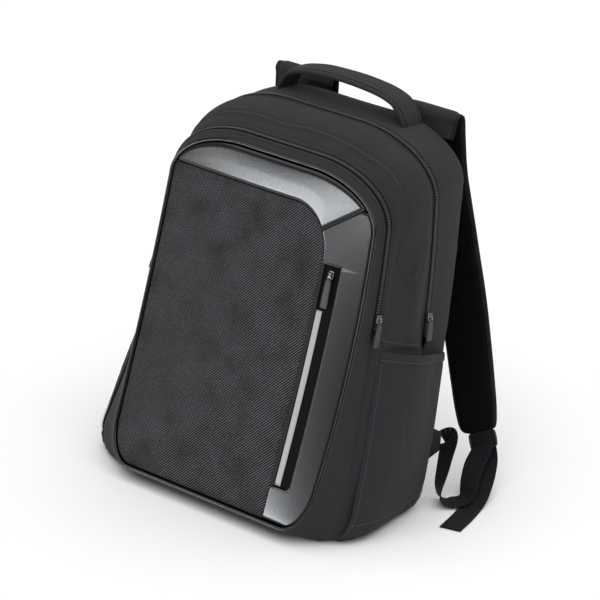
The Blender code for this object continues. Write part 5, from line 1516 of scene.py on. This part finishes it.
@dataclass
class Harness:
    """A shoulder strap with its buckle, webbing and tab."""

    form: BagForm
    finishes: Finishes
    side: Side
    tag: str
    width: float = 0.072
    thick: float = 0.010
    end_thick: float = 3.2 * MM
    band: float = 0.025
    band_thick: float = 1.5 * MM
    plate: float = 3.5 * MM
    bar: float = 3.6 * MM
    rail: float = 3.0 * MM
    gap: float = 0.3 * MM
    turn: float = 12.0

    def mirrored(self, points: Array) -> Array:
        """Points turned to this harness's side."""
        return points * np.array([self.side.value, 1.0, 1.0])

    def buckle_frame(self) -> tuple[Array, Array, Array, Array, float]:
        """Middle of the lower bar, then along, out and wide, and the length."""
        low, high = self.form.behind(BUCKLE_ROWS)
        length = float(np.linalg.norm(high - low))
        along = (high - low) / length
        angle = math.radians(self.turn)
        wide = np.array([math.cos(angle), math.sin(angle), 0.0])
        wide = unit(wide - along * (along @ wide))
        return low, along, np.cross(along, wide), wide, length

    def strap(self) -> None:
        """Padded strap: a rounded band through the table's rows, pinched at its bound edges."""
        bar, along, out, wide_bar, length = self.buckle_frame()
        centre = self.form.behind(STRAP_ROWS)
        wide, thick = path_frames(centre, STRAP_ROWS[:, 5])
        end = bar + along * (length + self.gap)
        centre = np.vstack([centre, end])
        wide, thick = np.vstack([wide, wide_bar]), np.vstack([thick, -out])
        sizes = np.column_stack([STRAP_ROWS[:, 3] * self.width / 2, STRAP_ROWS[:, 4] * self.thick / 2])
        sizes = np.vstack([sizes, [self.band / 2, self.end_thick / 2]])
        centre, wide, thick, fine = refined(centre, wide, thick, 16, sizes)
        turn = np.linspace(0, 2 * math.pi, 72, endpoint=False)
        across, up = superellipse(turn, 3.2)
        pinch = 1 - 0.42 * bump(np.abs(across), 0.83, 0.035)
        edge = np.where(np.abs(across) > 0.83, 0.62, 1.0)
        height = up * pinch * edge
        grid = (centre[:, None] + wide[:, None] * (fine[:, 9:10] * across[None])[..., None]
                + thick[:, None] * (fine[:, 10:11] * height[None])[..., None])
        fold = 1.1 * MM * ripple(grid, 0.03, 41, stretch=(2.2, 1, 1))
        grid = grid + thick[:, None] * (fold * (1 - np.abs(across) ** 6)[None])[..., None]
        uv = places_grid(np.linspace(0, 2 * self.width, 73), arc_length(centre))
        piece = Mesher.grid(f"padded_strap_{self.tag}", self.mirrored(grid), wrap=True, caps=True,
                            uv=uv)
        dress(piece, self.finishes.mesh, "strap_mesh", f"shoulder_strap_{self.tag}")
        for finish in (self.finishes.cloth, self.finishes.binding):
            piece.data.materials.append(finish)
        side = np.where(np.abs(across) > 0.86, 2, np.where(up < 0, 1, 0))
        kinds = np.zeros(len(piece.data.polygons), dtype=np.int32)
        kinds[:(len(centre) - 1) * 72] = np.tile(side, len(centre) - 1)
        piece.data.polygons.foreach_set("material_index", kinds)

    def webbing(self) -> None:
        """Flat webbing: up from the tab, over the floor, round the buckle's bar and down."""
        lift = self.band_thick / 2 + 0.4 * MM
        bar, along, out, wide_bar, _ = self.buckle_frame()
        wrap = np.radians(np.array([-78.0, -26.0, 26.0, 78.0]))
        reach = (math.hypot(self.bar, self.plate) / 2
                 + (self.band_thick / 2 + 2 * self.gap) / math.cos(wrap[2]))
        over = bar + reach * (np.cos(wrap)[:, None] * along + np.sin(wrap)[:, None] * out)
        centre = np.concatenate([self.form.behind(TO_BUCKLE, lift), over,
                                 self.form.behind(FREE_END, lift)])
        turn = math.degrees(math.atan2(wide_bar[1], wide_bar[0]))
        tip = wide_bar[2] / math.hypot(wide_bar[0], wide_bar[1])
        turns = np.concatenate([TO_BUCKLE[:, 3], np.full(4, turn), FREE_END[:, 3]])
        tips = np.concatenate([TO_BUCKLE[:, 4], np.full(4, tip), FREE_END[:, 4]])
        wide, thick = path_frames(centre, turns, tips)
        centre, wide, thick, _ = refined(centre, wide, thick, 10)
        grid = tube(centre, wide, thick, self.band / 2, self.band_thick / 2, power=9, sides=28)
        grid[..., 2] = np.maximum(grid[..., 2], 0.2 * MM)
        uv = places_grid(np.linspace(0, 2 * self.band, 29), arc_length(centre))
        piece = Mesher.grid(f"webbing_band_{self.tag}", self.mirrored(grid), wrap=True, caps=True,
                            uv=uv)
        dress(piece, self.finishes.webbing, "webbing", f"webbing_{self.tag}")

    def buckle(self) -> None:
        """Ladder buckle: a rounded frame with a bar at each end."""
        low, along, out, wide, length = self.buckle_frame()
        half = self.band / 2 + 4 * self.gap + self.rail / 2
        turn = np.linspace(0, 2 * math.pi, 64, endpoint=False)
        across, up = superellipse(turn, 7.0)
        middle = low + along * (length / 2 - self.gap)
        tall = length / 2 + self.bar / 2 - self.rail / 2
        loop = middle + wide * (across * half)[:, None] + along * (up * tall)[:, None]
        radial = unit(wide * (across / half)[:, None] * 0.001 + along * (up / tall)[:, None] * 0.001)
        ring = tube(loop, radial, out, self.rail / 2, self.plate / 2, power=3.5, sides=14)
        piece = Mesher.loop(f"ladder_buckle_{self.tag}", self.mirrored(ring))
        dress(piece, self.finishes.acetal, "buckle_plastic", f"buckle_{self.tag}")
        ends = low[None] + along[None] * (length * np.linspace(0.14, 1.02, 9))[:, None]
        plate = tube(ends, wide, out, half, 1.0 * MM, power=8, sides=20)
        piece = Mesher.grid(f"buckle_plate_{self.tag}", self.mirrored(plate), wrap=True, caps=True)
        dress(piece, self.finishes.acetal, "buckle_plastic")

    def tab(self) -> None:
        """Cloth tab low at the back of the side, doubled over the webbing's end."""
        corners = self.form.behind(TAB_ROWS)
        share = np.linspace(0, 1, 16)
        left = corners[0] + (corners[1] - corners[0]) * share[:, None]
        right = corners[3] + (corners[2] - corners[3]) * share[:, None]
        grid = left[:, None] + (right - left)[:, None] * share[None, :, None]
        face = unit(np.cross(corners[1] - corners[0], corners[2] - corners[0]))
        grid = grid + face * MM
        grid = self.mirrored(grid)
        uv = places_grid(share * 0.03, share * 0.03)
        piece = Mesher.grid(f"webbing_tab_cloth_{self.tag}", grid, uv=uv, facing=self.mirrored(face))
        solidify(piece, 2.0 * MM)
        dress(piece, self.finishes.cloth, "fabric", f"webbing_tab_{self.tag}")

    def build(self) -> None:
        """Makes the whole harness of one side."""
        self.strap()
        self.webbing()
        self.buckle()
        self.tab()


@dataclass(frozen=True)
class Studio:
    """Plain pale floor, soft lights and the camera."""

    target: tuple[float, float, float] = (0.0555, -0.0044, 0.2336)
    azimuth: float = 41.9617
    elevation: float = 23.3105
    distance: float = 3.8732
    lens: float = 216.47
    floor_half: float = 12.0
    sky: float = 0.30

    def toward(self, azimuth: float, elevation: float) -> Vector:
        """Direction from the object at an azimuth and an elevation, in degrees."""
        a, e = math.radians(azimuth), math.radians(elevation)
        return Vector((math.sin(a) * math.cos(e), -math.cos(a) * math.cos(e), math.sin(e)))

    def camera(self) -> None:
        """Camera at the photograph's angle."""
        data = bpy.data.cameras.new("camera")
        data.lens, data.sensor_width = self.lens, 36.0
        data.clip_start, data.clip_end = 0.1, 60.0
        made = bpy.data.objects.new("camera", data)
        way = self.toward(self.azimuth, self.elevation)
        made.location = Vector(self.target) + way * self.distance
        made.rotation_mode = "QUATERNION"
        made.rotation_quaternion = (-way).to_track_quat("-Z", "Y")
        bpy.context.scene.collection.objects.link(made)
        bpy.context.scene.camera = made

    @staticmethod
    def softbox(name: str, place: Sequence[float], target: Sequence[float], size: Sequence[float],
                radiance: float) -> bpy.types.Object:
        """Soft light of a size and a brightness, at a place and facing a target."""
        data = bpy.data.lights.new(name, "AREA")
        data.shape, data.size, data.size_y = "RECTANGLE", size[0], size[1]
        data.energy = radiance * math.pi * size[0] * size[1]
        made = bpy.data.objects.new(name, data)
        made.location = place
        made.rotation_mode = "QUATERNION"
        made.rotation_quaternion = (Vector(target) - Vector(place)).to_track_quat("-Z", "Y")
        bpy.context.scene.collection.objects.link(made)
        return made

    def build(self) -> None:
        """Makes the camera, the lights, the sky and the floor."""
        self.camera()
        world = bpy.data.worlds.new("studio")
        world.use_nodes = True
        world.node_tree.nodes["Background"].inputs["Color"].default_value = (1, 1, 1, 1)
        world.node_tree.nodes["Background"].inputs["Strength"].default_value = self.sky
        bpy.context.scene.world = world
        bpy.context.scene.view_settings.view_transform = "Standard"
        self.softbox("ceiling", (1.6, 1.2, 5.0), (1.6, 1.2, 0.0), (14.0, 14.0), 1.24)
        self.softbox("key", (1.6, -1.9, 1.9), (0.0, 0.0, 0.25), (0.9, 0.9), 1.6)
        strip = self.softbox("strip", (-1.18, -1.62, 0.16), (0.0, 0.0, 0.35), (0.46, 0.30), 24.0)
        strip.data.color = (0.93, 0.97, 1.0)
        strip.visible_diffuse = False
        reach = self.floor_half
        corners = [[(-reach, -reach, 0), (reach, -reach, 0)], [(-reach, reach, 0), (reach, reach, 0)]]
        floor = Mesher.grid("floor", np.array(corners, dtype=float), facing=np.array([0, 0, 1.0]))
        floor.parent = None
        paper = Finish("white_paper", "#ffffff", 0.9, specular=0.05).material()
        floor.data.materials.append(paper)


def write_sizes() -> None:
    """Brings the scene's placements up to date."""
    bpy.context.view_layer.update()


def main() -> None:
    """Builds every sub-assembly in turn."""
    logging.basicConfig(level=logging.INFO, format="%(name)s %(message)s")
    form, finishes = BagForm(), Finishes()
    stitching = Stitching(finishes)
    BagCloth(form, finishes, stitching).build()
    panel = FrontPanel(form, finishes, stitching)
    panel.build()
    for station in ZIP_ENDS:
        ZipBand(form, finishes, station, station.name.lower()).build()
    ZipHardware(form, panel, finishes).build()
    for side, tag in ((Side.RIGHT, "right"), (Side.LEFT, "left")):
        SidePocket(form, finishes, side, tag, stitching).build()
        Harness(form, finishes, side, tag).build()
    Handle(form, finishes, stitching).build()
    stitching.build()
    Studio().build()
    write_sizes()


if __name__ == "__main__":
    main()
